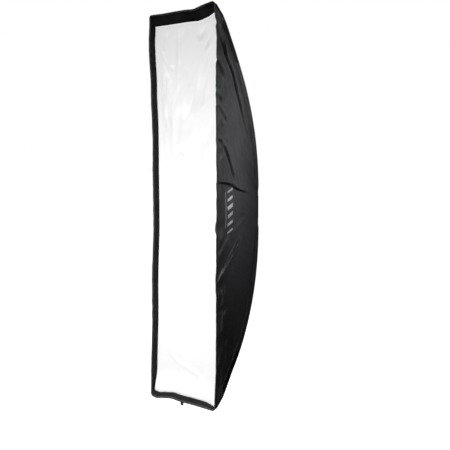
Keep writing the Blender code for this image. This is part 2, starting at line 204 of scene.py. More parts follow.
def pile(name, colour, depth):
    """Loop or hook pile: matt, with a fuzzy relief."""
    nodes = Nodes(name)
    place = nodes.place()
    wear = nodes.noise(place, 14.0, 4.0, 0.6)
    nodes.set(
        Base_Color=nodes.ramp(wear, (0.30, shade(colour, 0.7)), (0.75, shade(colour, 1.5))),
        Normal=nodes.bump(nodes.noise(place, 900.0, 2.0, 0.7), depth, 0.8),
        Roughness=0.95,
        Specular_IOR_Level=0.08,
    )
    return nodes.material


def ribbed(name, colour, pitch):
    """Webbing: herringbone ribs that run along the strap."""
    nodes = Nodes(name)
    along, across = nodes.add("ShaderNodeSeparateXYZ", Vector=nodes.flat()).outputs[:2]
    slant = nodes.math("ADD", along, nodes.math("PINGPONG", across, 0.004))
    waves = [nodes.math("SINE", nodes.math("MULTIPLY", way, 2 * math.pi / pitch)) for way in (across, slant)]
    wear = nodes.noise(nodes.place(), 40.0, 4.0, 0.6)
    nodes.set(
        Base_Color=nodes.ramp(wear, (0.30, shade(colour, 0.75)), (0.72, shade(colour, 1.35))),
        Normal=nodes.bump(nodes.math("ADD", *waves), 0.00012),
        Roughness=0.72,
        Sheen_Weight=0.1,
        Specular_IOR_Level=0.3,
    )
    return nodes.material


def powder_coat(name, colour):
    """Satin powder coat: orange peel, and paler rubbed edges."""
    nodes = Nodes(name)
    place = nodes.place()
    wear = nodes.noise(place, 60.0, 6.0, 0.7)
    edge = nodes.add("ShaderNodeNewGeometry").outputs["Pointiness"]
    rubbed = nodes.math("MULTIPLY", nodes.scale_range(edge, -1.6, 2.6), wear)
    nodes.set(
        Base_Color=nodes.ramp(rubbed, (0.20, colour), (0.62, shade(colour, 1.6)), (0.9, (0.22, 0.22, 0.22))),
        Roughness=nodes.scale_range(wear, 0.34, 0.52),
        Normal=nodes.bump(nodes.noise(place, 1400.0, 2.0, 0.5), 0.00004, 0.7),
        Metallic=0.25,
    )
    return nodes.material


def bare_metal(name, colour, roughness, stretch):
    """Drawn or plated metal with fine lines along its length and dull spots."""
    nodes = Nodes(name)
    place = nodes.place()
    dull = nodes.noise(place, 45.0, 5.0, 0.65)
    nodes.set(
        Base_Color=nodes.ramp(dull, (0.32, shade(colour, 0.72)), (0.66, colour)),
        Roughness=nodes.scale_range(dull, roughness + 0.12, roughness - 0.06),
        Normal=nodes.bump(nodes.noise(place, 700.0, 3.0, 0.6, stretch), 0.00002, 0.6),
        Metallic=1.0,
    )
    return nodes.material


def moulded(name, colour):
    """Moulded plastic with a fine spark-eroded texture."""
    nodes = Nodes(name)
    place = nodes.place()
    rubbed = nodes.noise(place, 120.0, 4.0, 0.6)
    nodes.set(
        Base_Color=nodes.ramp(rubbed, (0.35, colour), (0.70, shade(colour, 1.5))),
        Roughness=nodes.scale_range(rubbed, 0.46, 0.60),
        Normal=nodes.bump(nodes.noise(place, 2200.0, 2.0, 0.5), 0.00004, 0.6),
    )
    return nodes.material


def make_materials():
    satin = {"Sheen_Weight": 0.04, "Specular_IOR_Level": 0.35}
    return {
        "nylon": woven("black_nylon", (0.088, 0.087, 0.092), 0.50, 0.00045, 0.00005, 0.0008, 0.25, **satin),
        # patch: a darker copy of the black nylon, painted shade for the corner patches and caps
        "patch": woven("shaded_patch_nylon", (0.021, 0.021, 0.022), 0.6, 0.0006, 0.00008, 0.0003, 0.25,
                       Specular_IOR_Level=0.3),
        "lip_nylon": woven("lip_nylon", (0.080, 0.080, 0.084), 0.50, 0.00045, 0.00005, 0.0006, 0.25, **satin),
        "silver": woven("silver_lining", (0.74, 0.74, 0.75), 0.36, 0.0006, 0.00004, 0.0010, Metallic=0.85),
        "diffuser": woven("white_diffuser", (0.90, 0.90, 0.895), 0.72, 0.0005, 0.00003, 0.0003, 0.015,
                          Sheen_Weight=0.05),
        "loop": pile("black_loop_pile", (0.016, 0.016, 0.017), 0.0004),
        "hook": pile("black_hook_pile", (0.016, 0.016, 0.016), 0.0006),
        "binding": ribbed("black_binding", (0.040, 0.040, 0.041), 0.0008),
        "webbing": ribbed("black_webbing", (0.020, 0.020, 0.020), 0.0011),
        "thread": woven("black_thread", (0.055, 0.055, 0.056), 0.60, 0.0003, 0.00004),
        "white_tape": ribbed("white_binding", (0.78, 0.78, 0.77), 0.0009),
        "white_thread": woven("white_thread", (0.80, 0.80, 0.79), 0.60, 0.0003, 0.00004),
        "ink": woven("pale_print", (0.92, 0.92, 0.91), 0.55, 0.00045, 0.00004),
        "grey_ink": woven("grey_print", (0.62, 0.62, 0.63), 0.55, 0.00045, 0.00004),
        "coat": powder_coat("black_powder_coat", (0.020, 0.020, 0.021)),
        "zinc": bare_metal("zinc_plate", (0.70, 0.70, 0.71), 0.30, (1.0, 1.0, 1.0)),
        "spring": bare_metal("spring_steel", (0.50, 0.50, 0.51), 0.34, (1.0, 0.2, 0.05)),
        "plastic": moulded("black_plastic", (0.014, 0.014, 0.014)),
    }


# ---- shape of the sewn shell ----


def smooth(value, low, high):
    """Smoothstep of value between low and high."""
    share = np.clip((value - low) / (high - low), 0.0, 1.0)
    return share * share * (3 - 2 * share)


def hump(value, centre, width):
    return np.exp(-(((value - centre) / width) ** 2))


def unit(vectors):
    return vectors / np.maximum(np.linalg.norm(vectors, axis=-1, keepdims=True), 1e-12)


def front_bow(z):
    return FRONT_BOW * np.clip(1 - (z / HALF_HEIGHT) ** 2, 0, None)


def rear_edge(z):
    """x and y of the right rear edge at height z."""
    height = np.abs(z)
    share = smooth(height, NECK_Z, SHOULDER_Z)
    x = EDGE_BASE + np.hypot(EDGE_ROUND, EDGE_SPREAD * height)
    y = APEX_Y - BOW * height**2
    return NECK_X + (x - NECK_X) * share, NECK_Y + (y - NECK_Y) * share


def side_between(y, z, edge_x, edge_y):
    """Half width at depth y of cloth stretched from the front seam to a rear edge, sagging a little."""
    seam_y = SEAM_Y + front_bow(z)
    length = np.maximum(edge_y - seam_y, 0.0004)
    share = np.clip((y - seam_y) / length, 0, 1)
    return HALF_WIDTH + (edge_x - HALF_WIDTH) * share - SIDE_SAG * length * np.sin(np.pi * share)


def side_x(y, z):
    """Half width of the shell at depth y and height z, drawn in to the neck only near the ring."""
    plain_x = EDGE_BASE + np.hypot(EDGE_ROUND, EDGE_SPREAD * np.abs(z))
    plain = side_between(y, z, plain_x, APEX_Y - BOW * np.abs(z) ** 2)
    necked = side_between(y, z, *rear_edge(z))
    near_ring = smooth(y, -0.075, -0.012)
    return plain + (necked - plain) * near_ring


def slump(points):
    """Where the sewn front really hangs: the long lips wander sideways and the end lips droop."""
    x, y, z = points[..., 0].copy(), points[..., 1], points[..., 2].copy()
    front = smooth(-y, 0.30, 0.425)
    corners = 1 - smooth(np.abs(z), 0.70, 0.795)
    wander = 0.0085 * hump(z, 0.66, 0.11) + 0.003 * hump(z, -0.62, 0.12) - 0.0035 * hump(z, -0.02, 0.40)
    dip = -0.006 * hump(z, -0.08, 0.024) - 0.006 * hump(z, -0.30, 0.028)
    right = smooth(x, 0.10, 0.17)
    left = smooth(-x, 0.10, 0.17)
    loose = 0.0070 * hump(z, -0.29, 0.15) + 0.004 * hump(z, 0.46, 0.07) + 0.0025 * hump(z, 0.12, 0.14)
    sideways = (wander + dip * right + loose * left) * corners * front
    across = 1 - np.clip(np.abs(x) / HALF_WIDTH, 0, 1) ** 2
    kink = np.exp(-(np.sqrt((x - 0.070) ** 2 + 0.016**2) - 0.016) / 0.034)
    top = (0.007 * across + 0.0090 * kink) * smooth(z, 0.55, 0.75) * across**0.25
    lump = 0.005 * across + 0.004 * hump(x, -0.055, 0.03) - 0.006 * hump(x, -0.14, 0.022)
    bottom = lump * smooth(-z, 0.55, 0.75) * across**0.25
    behind = 1 - smooth(front_bow(z) - y, -SEAM_Y - 0.16, -SEAM_Y)
    sag = 0.009 * hump(z, 0.69, 0.06) - 0.0015 * hump(z, 0.30, 0.20) + 0.010 * hump(z, -0.60, 0.27)
    full = 0.011 * smooth(x, 0.11, 0.17) * smooth(np.abs(z), 0.66, 0.75) * (1 - smooth(-y, 0.422, 0.44))
    return np.stack([
        x + sideways * np.clip(x / HALF_WIDTH, -1, 1),
        y + sag * behind * corners,
        z - top * front + bottom * front + full * np.sign(z),
    ], axis=-1)


def perlin(points, scale, shift):
    """Smooth noise from -1 to 1 at each point."""
    flat = points.reshape(-1, 3) * scale + np.array(shift)
    values = [noise.noise(Vector(point)) for point in flat]
    return np.array(values).reshape(points.shape[:-1])


def normals_of(grid):
    """Unit normals that look away from the middle line of the box."""
    normals = unit(np.cross(np.gradient(grid, axis=0), np.gradient(grid, axis=1)))
    outward = (grid - np.array(INSIDE)) * (1, 1, 0)
    return -normals if np.sum(normals * outward) < 0 else normals


def panel_area(grid):
    along, across = np.gradient(grid, axis=0), np.gradient(grid, axis=1)
    return float(np.linalg.norm(np.cross(along, across), axis=-1)[:-1, :-1].sum())


def spaced(values, walked, wanted):
    """Rows of values interpolated at the wanted distances along their path."""
    return np.stack([np.interp(wanted, walked, values[:, axis]) for axis in range(values.shape[1])], axis=1)


def curve_through(points, count):
    """Points spaced evenly along a smooth curve through a few points."""
    points = np.array(points, float)
    padded = np.vstack([2 * points[0] - points[1], points, 2 * points[-1] - points[-2]])
    t = np.linspace(0, 1, 24, endpoint=False)[:, None]
    parts = []
    for i in range(len(points) - 1):
        before, start, end, after = padded[i : i + 4]
        bend = (2 * before - 5 * start + 4 * end - after) * t**2
        twist = (3 * start - before - 3 * end + after) * t**3
        parts.append(0.5 * (2 * start + (end - before) * t + bend + twist))
    fine = np.vstack([*parts, points[-1:]])
    walked = np.concatenate([[0], np.cumsum(np.linalg.norm(np.diff(fine, axis=0), axis=1))])
    return spaced(fine, walked, np.linspace(0, walked[-1], count))


def along_crease(y, z, points):
    """Signed distance to a crease and the share of the way along it, for each point of a panel."""
    line = curve_through(points, 48)
    flat_y, flat_z = y.ravel(), z.ravel()
    best = np.full(flat_y.shape, 1e9)
    signed, share = np.zeros(flat_y.shape), np.zeros(flat_y.shape)
    for i in range(len(line) - 1):
        start, step = line[i], line[i + 1] - line[i]
        raw = ((flat_y - start[0]) * step[0] + (flat_z - start[1]) * step[1]) / (step @ step)
        t = np.clip(raw, 0, 1)
        gap_y, gap_z = flat_y - start[0] - t * step[0], flat_z - start[1] - t * step[1]
        distance = np.hypot(gap_y, gap_z)
        nearer = distance < best
        side = np.sign(step[0] * gap_z - step[1] * gap_y)
        best[nearer] = distance[nearer]
        signed[nearer] = (distance * side)[nearer]
        share[nearer] = ((i + t) / (len(line) - 1))[nearer]
    return signed.reshape(y.shape), share.reshape(y.shape)


# ---- mesh building ----


def lengths_along(grid, axis):
    steps = np.linalg.norm(np.diff(grid, axis=axis), axis=-1)
    walked = np.cumsum(steps, axis=axis)
    start = np.zeros_like(np.take(walked, [0], axis=axis))
    return np.concatenate([start, walked], axis=axis)


def mesh_object(name, points, faces, flat, materials):
    """A smooth-shaded object. flat gives each point its place on the cloth in metres."""
    mesh = bpy.data.meshes.new(name)
    mesh.from_pydata([tuple(point) for point in points], [], faces)
    layer = mesh.uv_layers.new(name="cloth")
    corners = np.zeros(len(mesh.loops), np.int32)
    mesh.loops.foreach_get("vertex_index", corners)
    layer.data.foreach_set("uv", np.asarray(flat, np.float32)[corners].ravel())
    for material in materials:
        mesh.materials.append(material)
    mesh.shade_smooth()
    made = bpy.data.objects.new(name, mesh)
    bpy.context.scene.collection.objects.link(made)
    return made


def grid_object(name, grid, faces, materials, flip, ways=(0, 1)):
    """An object on a grid of points. ways are the grid's axes along and across the cloth."""
    if flip:
        faces = [face[::-1] for face in faces]
    flat = np.stack([lengths_along(grid, way) for way in ways], axis=-1).reshape(-1, 2)
    return mesh_object(name, grid.reshape(-1, 3), faces, flat, materials)


def grid_faces(rows, columns, wrap=False):
    faces = []
    for i in range(rows - 1):
        for j in range(columns if wrap else columns - 1):
            k = (j + 1) % columns
            faces.append((i * columns + j, i * columns + k, (i + 1) * columns + k, (i + 1) * columns + j))
    return faces


def thicken(piece, thickness):
    solid = piece.modifiers.new("thickness", "SOLIDIFY")
    solid.thickness = thickness
    solid.offset = -1
    return solid


def faces_out(grid, centre):
    """True if a grid's own faces already look away from centre."""
    row, column = grid.shape[0] // 2, grid.shape[1] // 2
    here = grid[row, column]
    along, across = grid[row, column + 1] - here, grid[row + 1, column] - here
    return np.cross(along, across) @ (here - np.array(centre)) > 0


def cloth(name, grid, materials, thickness, centre=INSIDE):
    """A sheet through a grid of points, its outside on the grid and thickened towards centre."""
    made = grid_object(name, grid, grid_faces(*grid.shape[:2]), materials, not faces_out(grid, centre))
    solid = thicken(made, thickness)
    solid.use_even_offset = True
    if len(materials) > 1:
        solid.material_offset = 1
    return made


def sweep(name, path, back, inward, profile, material):
    """A closed profile of (back, inward) points carried along an open path, with flat ends."""
    grid = np.stack([path + back * b + inward * n for b, n in profile], axis=1)
    rows, columns = grid.shape[:2]
    faces = grid_faces(rows, columns, wrap=True)
    faces.append(tuple(range(columns))[::-1])
    faces.append(tuple((rows - 1) * columns + j for j in range(columns)))
    ring = grid[0] - grid[0].mean(axis=0)
    turn = sum(np.cross(ring[j], ring[(j + 1) % columns]) for j in range(columns)) @ (grid[1, 0] - grid[0, 0])
    return grid_object(name, grid, faces, [material], turn < 0)


def round_profile(radius, count=8):
    turns = [2 * math.pi * i / count for i in range(count)]
    return [(radius * math.cos(turn), radius * math.sin(turn)) for turn in turns]


def seam(path, up, raised=0.0001):
    """A row for stitch_rows: a path just above the cloth, with the cloth's normals along it."""
    up = np.broadcast_to(up, path.shape)
    return path + up * raised, up


def stitch_rows(name, rows, material, pitch=0.0042, length=0.0030, radius=0.00028):
    """Sewn stitches along each (path, normal) row, all in one piece."""
    points, faces, flat = [], [], []
    for path, normal in rows:
        walked = lengths_along(path[:, None], 0)[:, 0]
        count = max(int(walked[-1] / pitch), 1)
        middles = (np.arange(count) + 0.5) * walked[-1] / count
        place = spaced(path, walked, middles)
        up = unit(spaced(normal, walked, middles))
        forward = unit(spaced(path, walked, middles + 0.001) - spaced(path, walked, middles - 0.001))
        side = unit(np.cross(forward, up))
        for i in range(count):
            base = len(points)
            points.append(place[i] - forward[i] * length / 2 - up[i] * radius)
            for reach, size in ((-0.32, 0.8), (0.0, 1.0), (0.32, 0.8)):
                centre = place[i] + forward[i] * length * reach
                for a, b in ((1, 0), (0, 1), (-1, 0), (0, -1)):
                    points.append(centre + side[i] * radius * size * a + up[i] * radius * size * b)
            points.append(place[i] + forward[i] * length / 2 - up[i] * radius)
            for low in (base + 1, base + 5):
                for j in range(4):
                    k = (j + 1) % 4
                    faces.append((low + j, low + 4 + j, low + 4 + k, low + k))
            for j in range(4):
                k = (j + 1) % 4
                faces.append((base, base + 1 + j, base + 1 + k))
                faces.append((base + 13, base + 9 + k, base + 9 + j))
            flat.extend([(middles[i], 0.0)] * 14)
    return mesh_object(name, np.array(points), faces, flat, [material])


def fit(piece, replaced=None, body="softbox"):
    """Hang a finished piece on its body and hide the CAD node it replaces."""
    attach(piece, body)
    if replaced:
        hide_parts(replaced)
    return piece


# ---- the shell's panels ----

SIDE_COLUMNS = 120
END_ROWS = 230
END_COLUMNS = 84
EDGE_TUCK = 0.0012
PIPING_R = 0.0019
ROD_SLEEVE_SEAMS = (0.0262, 0.0300)
# Where the dark corner patches and caps of painted shade lie.
PATCH_LOW = 0.590
PATCH_HIGH = 0.738
PATCH_WIDTH = 0.030
CAP_LOW = 0.742
DEEPEST_DIP = 0.0020

# What crease() takes for each fold of a side panel. The points are (y, z) from the front edge back.
RIGHT_CREASES = (
    {
        "points": [(-0.458, 0.735), (-0.444, 0.710), (-0.409, 0.655), (-0.386, 0.628), (-0.342, 0.578),
                   (-0.300, 0.538), (-0.243, 0.445), (-0.198, 0.376), (-0.166, 0.329), (-0.117, 0.287)],
        "terms": [(-0.0062, 0.0, 0.0056), (0.0034, 0.0125, 0.0080), (0.0016, -0.022, 0.016)],
        "fade": (0.02, 0.40),
    },
    {
        "points": [(-0.458, 0.735), (-0.444, 0.710), (-0.426, 0.681), (-0.409, 0.655), (-0.390, 0.630),
                   (-0.355, 0.590)],
        "terms": [(-0.0050, 0.0, 0.0080), (0.0108, 0.0140, 0.0088)],
        "fade": (0.02, 0.45),
    },
    {
        "points": [(-0.445, 0.567), (-0.41, 0.540), (-0.365, 0.497)],
        "terms": [(-0.0045, 0.0, 0.011), (0.0068, 0.019, 0.012)],
        "fade": (0.05, 0.5),
    },
    {
        "points": [(-0.445, 0.455), (-0.41, 0.430), (-0.375, 0.395)],
        "terms": [(-0.0036, 0.0, 0.008), (0.0036, 0.013, 0.008)],
        "fade": (0.05, 0.5),
    },
    {
        "points": [(-0.430, 0.40), (-0.394, 0.375), (-0.350, 0.34)],
        "terms": [(-0.0026, 0.0, 0.008), (0.0026, 0.013, 0.008)],
    },
    {
        "points": [(-0.440, 0.275), (-0.415, 0.264), (-0.38, 0.246), (-0.346, 0.213), (-0.307, 0.155),
                   (-0.268, 0.107)],
        "terms": [(-0.0055, 0.0, 0.0080), (0.0036, 0.014, 0.009), (0.0014, -0.02, 0.014)],
        "fade": (0.15, 0.15),
    },
    {
        "points": [(-0.442, 0.098), (-0.419, 0.100), (-0.37, 0.101), (-0.306, 0.096), (-0.235, 0.079),
                   (-0.146, 0.067), (-0.07, 0.059)],
        "step": (0.0038, 0.030, -0.0026, 0.060),
        "fade": (0.12, 0.35),
    },
    {
        "points": [(-0.440, -0.33), (-0.40, -0.272), (-0.325, -0.216), (-0.262, -0.176), (-0.21, -0.138),
                   (-0.145, -0.108)],
        "terms": [(0.0052, 0.0, 0.0085), (-0.0050, 0.025, 0.014), (-0.0018, -0.03, 0.02)],
        "fade": (0.05, 0.35),
    },
    {
        "points": [(-0.440, -0.19), (-0.37, -0.13), (-0.29, -0.085), (-0.20, -0.045), (-0.12, -0.02)],
        "terms": [(-0.0030, 0.0, 0.010), (0.0020, -0.018, 0.010)],
    },
    {
        "points": [(-0.440, -0.41), (-0.37, -0.40), (-0.30, -0.394), (-0.245, -0.368)],
        "terms": [(-0.0026, 0.0, 0.008)],
    },
    {
        "points": [(-0.440, -0.56), (-0.385, -0.53), (-0.33, -0.505), (-0.28, -0.46)],
        "terms": [(-0.0022, 0.0, 0.010)],
    },
)

# The same cloth pulled by the same rods, folded its own way.
LEFT_CREASES = (
    {
        "points": [(-0.392, -0.66), (-0.350, -0.585), (-0.290, -0.50), (-0.215, -0.41)],
        "terms": [(-0.0045, 0.0, 0.012), (0.0026, -0.024, 0.016)],
        "fade": (0.04, 0.45),
    },
    {
        "points": [(-0.402, 0.23), (-0.345, 0.206), (-0.270, 0.162), (-0.185, 0.13), (-0.105, 0.10)],
        "terms": [(-0.0036, 0.0, 0.009), (0.0040, 0.019, 0.011)],
        "fade": (0.05, 0.35),
    },
    {
        "points": [(-0.402, -0.05), (-0.32, -0.062), (-0.23, -0.06), (-0.14, -0.055), (-0.07, -0.06)],
        "step": (0.0048, 0.030, -0.0036, 0.045),
        "fade": (0.05, 0.4),
    },
    {"points": [(-0.39, 0.60), (-0.33, 0.52), (-0.27, 0.455)], "terms": [(-0.0030, 0.0, 0.010)]},
    {"points": [(-0.37, -0.25), (-0.29, -0.235), (-0.21, -0.20)], "terms": [(-0.0026, 0.0, 0.008)]},
    {"points": [(-0.385, 0.40), (-0.31, 0.372), (-0.24, 0.33)], "terms": [(-0.0022, 0.0, 0.009)]},
)

# Small swellings behind the right lip: height, then middle and width along y and up the slant.
RIGHT_SWELLS = (
    (0.0042, -0.415, 0.018, 0.045, 0.018),
    (0.0042, -0.410, 0.018, -0.042, 0.020),
    (0.0040, -0.415, 0.015, -0.110, 0.014),
)

# Creases of the white front: its (x, z) line, height and width.
DIFFUSER_CREASES = (
    ([(0.150, 0.70), (0.075, 0.62), (0.02, 0.52), (-0.01, 0.40)], 0.0016, 0.010),
    ([(-0.140, 0.66), (-0.105, 0.60), (-0.06, 0.565)], 0.0014, 0.008),
    ([(0.155, 0.60), (0.10, 0.50), (0.055, 0.38), (0.03, 0.24)], 0.0016, 0.009),
    ([(-0.125, 0.55), (-0.13, 0.42), (-0.10, 0.30)], 0.0012, 0.008),
    ([(0.14, 0.36), (0.125, 0.24), (0.10, 0.13)], 0.0010, 0.008),
    ([(-0.12, -0.58), (-0.06, -0.64), (0.02, -0.67), (0.10, -0.70)], 0.0009, 0.009),
)


def crease(y, z, points, terms=(), step=None, fade=(0.12, 0.25)):
    """Relief of one crease. terms are (height, offset, width) humps beside the line, offset upwards.
    step is (height above, width above, height below, width below) for a fold that hangs over.
    fade is the share of its length over which the crease comes in and dies out."""
    distance, share = along_crease(y, z, points)
    strength = smooth(share, 0, fade[0]) * (1 - smooth(share, 1 - fade[1], 1))
    total = np.zeros_like(y)
    for height, offset, width in terms:
        total += height * hump(distance, offset, width)
    if step is not None:
        above = smooth(distance, -0.0030, 0.0030)
        high = step[0] * np.exp(-np.abs(distance) / step[1])
        low = step[2] * np.exp(-np.abs(distance) / step[3])
        total += above * high + (1 - above) * low
    return total * strength


def right_relief(y, z):
    total = sum(crease(y, z, **fold) for fold in RIGHT_CREASES)
    up_slant = z + 0.5 * (y + 0.41)
    for height, middle_y, width_y, middle_z, width_z in RIGHT_SWELLS:
        total += height * hump(y, middle_y, width_y) * hump(up_slant, middle_z, width_z)
    return total


def left_relief(y, z):
    return sum(crease(y, z, **fold) for fold in LEFT_CREASES)


# Each side's direction, relief and shift of its small wrinkles.
SIDES = {"right": (1, right_relief, 0.0), "left": (-1, left_relief, 40.0)}


def side_creasing(grid, shift):
    """Soft wander and small wrinkles of a side panel and its lip, livelier near the front edge."""
    x, y, z = grid[..., 0], grid[..., 1], grid[..., 2]
    slanted = np.stack([x, y - 0.6 * z, 0.35 * z + 0.25 * y], axis=-1)
    near_front = smooth(-y, 0.30, 0.40)
    lift = 0.0020 * perlin(grid, 8.0, (shift, 3.1, 7.7))
    lift += (0.0018 + 0.0012 * near_front) * perlin(slanted, 22.0, (shift, 11.3, 2.9))
    lift += (0.0010 + 0.0008 * near_front) * perlin(grid, 34.0, (shift, 9.4, 4.8))
    lift += (0.0007 + 0.0006 * near_front) * perlin(grid, 52.0, (shift, 5.9, 1.3))
    return lift + 0.0003 * perlin(grid, 110.0, (shift, 8.4, 3.6))


def drawn_in(lift):
    """Inward relief held back smoothly so the cloth never goes deeper than DEEPEST_DIP."""
    return np.where(lift < 0, DEEPEST_DIP * (np.exp(np.minimum(lift, 0) / DEEPEST_DIP) - 1), lift)


def eased_corner(y, z):
    """The cloth is drawn in a little where the panel turns forward into the lip."""
    return -0.0034 * hump(y, SEAM_Y + front_bow(z), 0.024)


def distance_to_rod(y, z):
    return (rear_edge(z)[1] - y) / np.hypot(1, 2 * BOW * z)


def held_back(y, z):
    """How free the side's cloth is to crease: not at all where it is drawn over the rods."""
    return smooth(distance_to_rod(y, z), 0.004, 0.040)


def side_heights():
    """Heights of a side panel's rows: close together where the creases are."""
    outer = np.linspace(0.36, TIP_Z, 72)
    inner = np.linspace(-0.36, 0.36, 252)[1:-1]
    return np.concatenate([-outer[::-1], inner, outer])


def side_panel(name):
    """Points, normals, area and distances to the rear edge of one long side."""
    side, relief, shift = SIDES[name]
    z = np.repeat(side_heights()[:, None], SIDE_COLUMNS, axis=1)
    seam_y = SEAM_Y + front_bow(z)
    edge_y = rear_edge(z)[1]
    y = seam_y + (edge_y - seam_y) * np.linspace(0, 1, SIDE_COLUMNS)[None, :]
    grid = np.stack([side * side_x(y, z), y, z], axis=-1)
    normals = normals_of(grid)
    to_edge = distance_to_rod(y, z)
    held = held_back(y, z)
    lift = relief(y, z) + side_creasing(grid, shift)
    inner = smooth(y - seam_y, 0.0, 0.03)
    lift = (lift * inner + drawn_in(lift) * (1 - inner)) * held + eased_corner(y, z) * held
    sleeve = 0.0016 * hump(to_edge, 0.0285, 0.0055) - 0.0010 * hump(to_edge, 0.041, 0.008)
    far = smooth(np.abs(z), 0.10, 0.16) * smooth(edge_y - seam_y, 0.0, 0.05)
    rolled = 0.0050 * hump(to_edge, 0.032, 0.016) * smooth(z, 0.42, 0.60)
    rolled = rolled * smooth(edge_y - seam_y, 0.02, 0.06)
    lift = lift + (sleeve * far + rolled) * inner
    return slump(grid + normals * lift[..., None]), normals, panel_area(grid), to_edge


def end_profile():
    """(y, z) of the top panel's middle line, from the front seam to the neck."""
    heights = np.linspace(SEAM_Z - 0.0009, SHOULDER_Z, 60)
    bowed = [(APEX_Y - BOW * z**2, z) for z in heights[::6]]
    bowed += [(-0.0150, 0.0860), (-0.0095, 0.0785), (NECK_Y, NECK_Z)]
    return curve_through(bowed, END_ROWS)


def end_panel(end, shift):
    """Points, normals, area and distances to the side edges of the top (end 1) or bottom (-1)."""
    profile = end_profile()
    y, z = profile[:, 0:1], profile[:, 1:2]
    reach = side_x(y, z) - EDGE_TUCK
    share = np.linspace(-1, 1, END_COLUMNS)[None, :]
    position = np.linspace(0, 1, END_ROWS)[:, None]
    drop = END_SAG * np.sin(np.pi * position) * (1 - share**2)
    grid = np.stack([reach * share, y - 0.7 * drop, end * (z - 0.7 * drop)], axis=-1)
    normals = normals_of(grid)
    if np.sum(normals[..., 2]) * end < 0:
        normals = -normals
    to_side = reach * (1 - np.abs(share))
    held = smooth(to_side, 0.003, 0.03) * smooth(position, 0, 0.05) * (1 - smooth(position, 0.93, 0.99))
    lift = 0.0020 * perlin(grid * (1.6, 0.30, 0.30), 16.0, (shift, 0.4, 9.2))
    lift += 0.0010 * perlin(grid, 26.0, (shift, 6.1, 4.4))
    lift += 0.00035 * perlin(grid, 70.0, (shift, 2.6, 8.3))
    for centre, run, height in ((0.22, 0.9, 0.0026), (0.45, -0.7, 0.0030), (0.70, 0.55, 0.0024)):
        line = position - centre - run * 0.10 * share
        lift += height * hump(line, 0.0, 0.014) * hump(share, 0.35 * np.sign(run), 0.42)
        lift -= 0.7 * height * hump(line, 0.028, 0.014) * hump(share, 0.30 * np.sign(run), 0.42)
    sleeve = 0.0012 * hump(to_side, 0.006, 0.004) - 0.0009 * hump(to_side, 0.0145, 0.0035)
    lift = lift * held + sleeve * (1 - smooth(position, 0.9, 0.97))
    return slump(grid + normals * lift[..., None]), normals, panel_area(grid), to_side


def make_shell(materials):
    pair = [materials["nylon"], materials["silver"]]
    shapes = {
        "right": ("side_panel_right", side_panel("right")),
        "left": ("side_panel_left", side_panel("left")),
        "top": ("top_panel", end_panel(1, 80.0)),
        "bottom": ("bottom_panel", end_panel(-1, 120.0)),
    }
    panels = {}
    for name, (node, (grid, normals, area, to_edge)) in shapes.items():
        made = cloth(f"shell_{name}", grid, pair, NYLON)
        panels[name] = Panel(fit(made, node), grid, normals, area, to_edge)
    return panels


def line_at(panel, part, offset):
    """The line on a side panel that keeps one distance from its rear edge."""
    rows = zip(panel.grid[part], panel.to_edge[part])
    return np.array([[np.interp(-offset, -gaps, row[:, axis]) for axis in range(3)] for row, gaps in rows])


def piping(panels, materials):
    """Corded seams where the side panels meet the end panels, over the four rods."""
    rows = []
    for side_name in ("left", "right"):
        panel = panels[side_name]
        edge = panel.grid[:, -1]
        outward = unit(panel.normals[:, -1] * (1, 1, 0))
        rearward = unit(np.cross(unit(np.gradient(edge, axis=0)), outward))
        if rearward[len(rearward) // 2 + 40, 1] < 0:
            rearward = -rearward
        for end_name, end in ENDS:
            part = end * edge[:, 2] >= NECK_Z + 0.001
            back, out = rearward[part], outward[part]
            path = edge[part] - out * 0.0009 + back * 0.0006
            name = f"edge_piping_{end_name}_{side_name}"
            cord = sweep(name, path, back, out, round_profile(PIPING_R, 10), materials["binding"])
            fit(cord)
            for offset in ROD_SLEEVE_SEAMS:
                line = line_at(panel, part, offset)
                kept = np.abs(line[:, 2]) < 0.735
                rows.append(seam(line[kept], panel.normals[part, -4][kept]))
    fit(stitch_rows("edge_stitching", rows, materials["thread"]))


def shade_patches(panels, materials):
    """A darker layer of cloth sewn over the rod's last stretch in each front corner: painted shade where the
    cloth turns over the rod.
    """
    rows = []
    for side_name in ("left", "right"):
        panel = panels[side_name]
        for end_name, end in ENDS:
            height = end * panel.grid[:, 0, 2]
            part = (height > PATCH_LOW) & (height < PATCH_HIGH)
            up = panel.normals[part, -8]
            offsets = np.linspace(0.0004, PATCH_WIDTH, 9)
            patch = np.stack([line_at(panel, part, offset) for offset in offsets], axis=1)
            patch = patch + up[:, None, :] * PATCH_CLOTH
            name = f"shade_patch_{end_name}_{side_name}"
            fit(cloth(name, patch, [materials["patch"]], PATCH_CLOTH))
            rows.append(seam(patch[1:-1, -2], up[1:-1]))
    fit(stitch_rows("corner_patch_stitching", rows, materials["thread"]))


def square_to(back, out):
    """Directions into the cloth, square to the ways back from its edge."""
    return -unit(out - back * np.sum(out * back, axis=1, keepdims=True))


def make_neck(panels, materials):
    """Bound edge of the square opening at the back of the shell."""
    profile = [
        (0.0065, -0.0006), (0.0, -0.0008), (-0.0009, 0.0004), (0.0, 0.0016), (0.0065, 0.0014),
        (0.0065, 0.0010), (0.0002, 0.0009), (0.0002, -0.0001), (0.0065, -0.0001),
    ]
    for name in ("left", "right", "top", "bottom"):
        grid, normals = panels[name].grid, panels[name].normals
        if name in SIDES:
            part = np.abs(grid[:, -1, 2]) <= NECK_Z - 0.001
            edge, inner, out = grid[part, -1], grid[part, -3], normals[part, -1]
        else:
            edge, inner, out = grid[-1, 1:-1], grid[-5, 1:-1], normals[-1, 1:-1]
        back = unit(inner - edge)
        path = edge + back * 0.0012
        tape = sweep(f"neck_binding_{name}", path, back, square_to(back, out), profile, materials["binding"])
        fit(tape)


# ---- the lip round the front ----

LIP_COLUMNS = 16
LONG_LIP_ROWS = 640
END_LIP_ROWS = 130
CORNER_FRONT = 0.013
CORNER_BACK = 0.004
WELT_R = 0.0013
END_LIP_SHIFTS = {"top": 27.0, "bottom": 39.0}


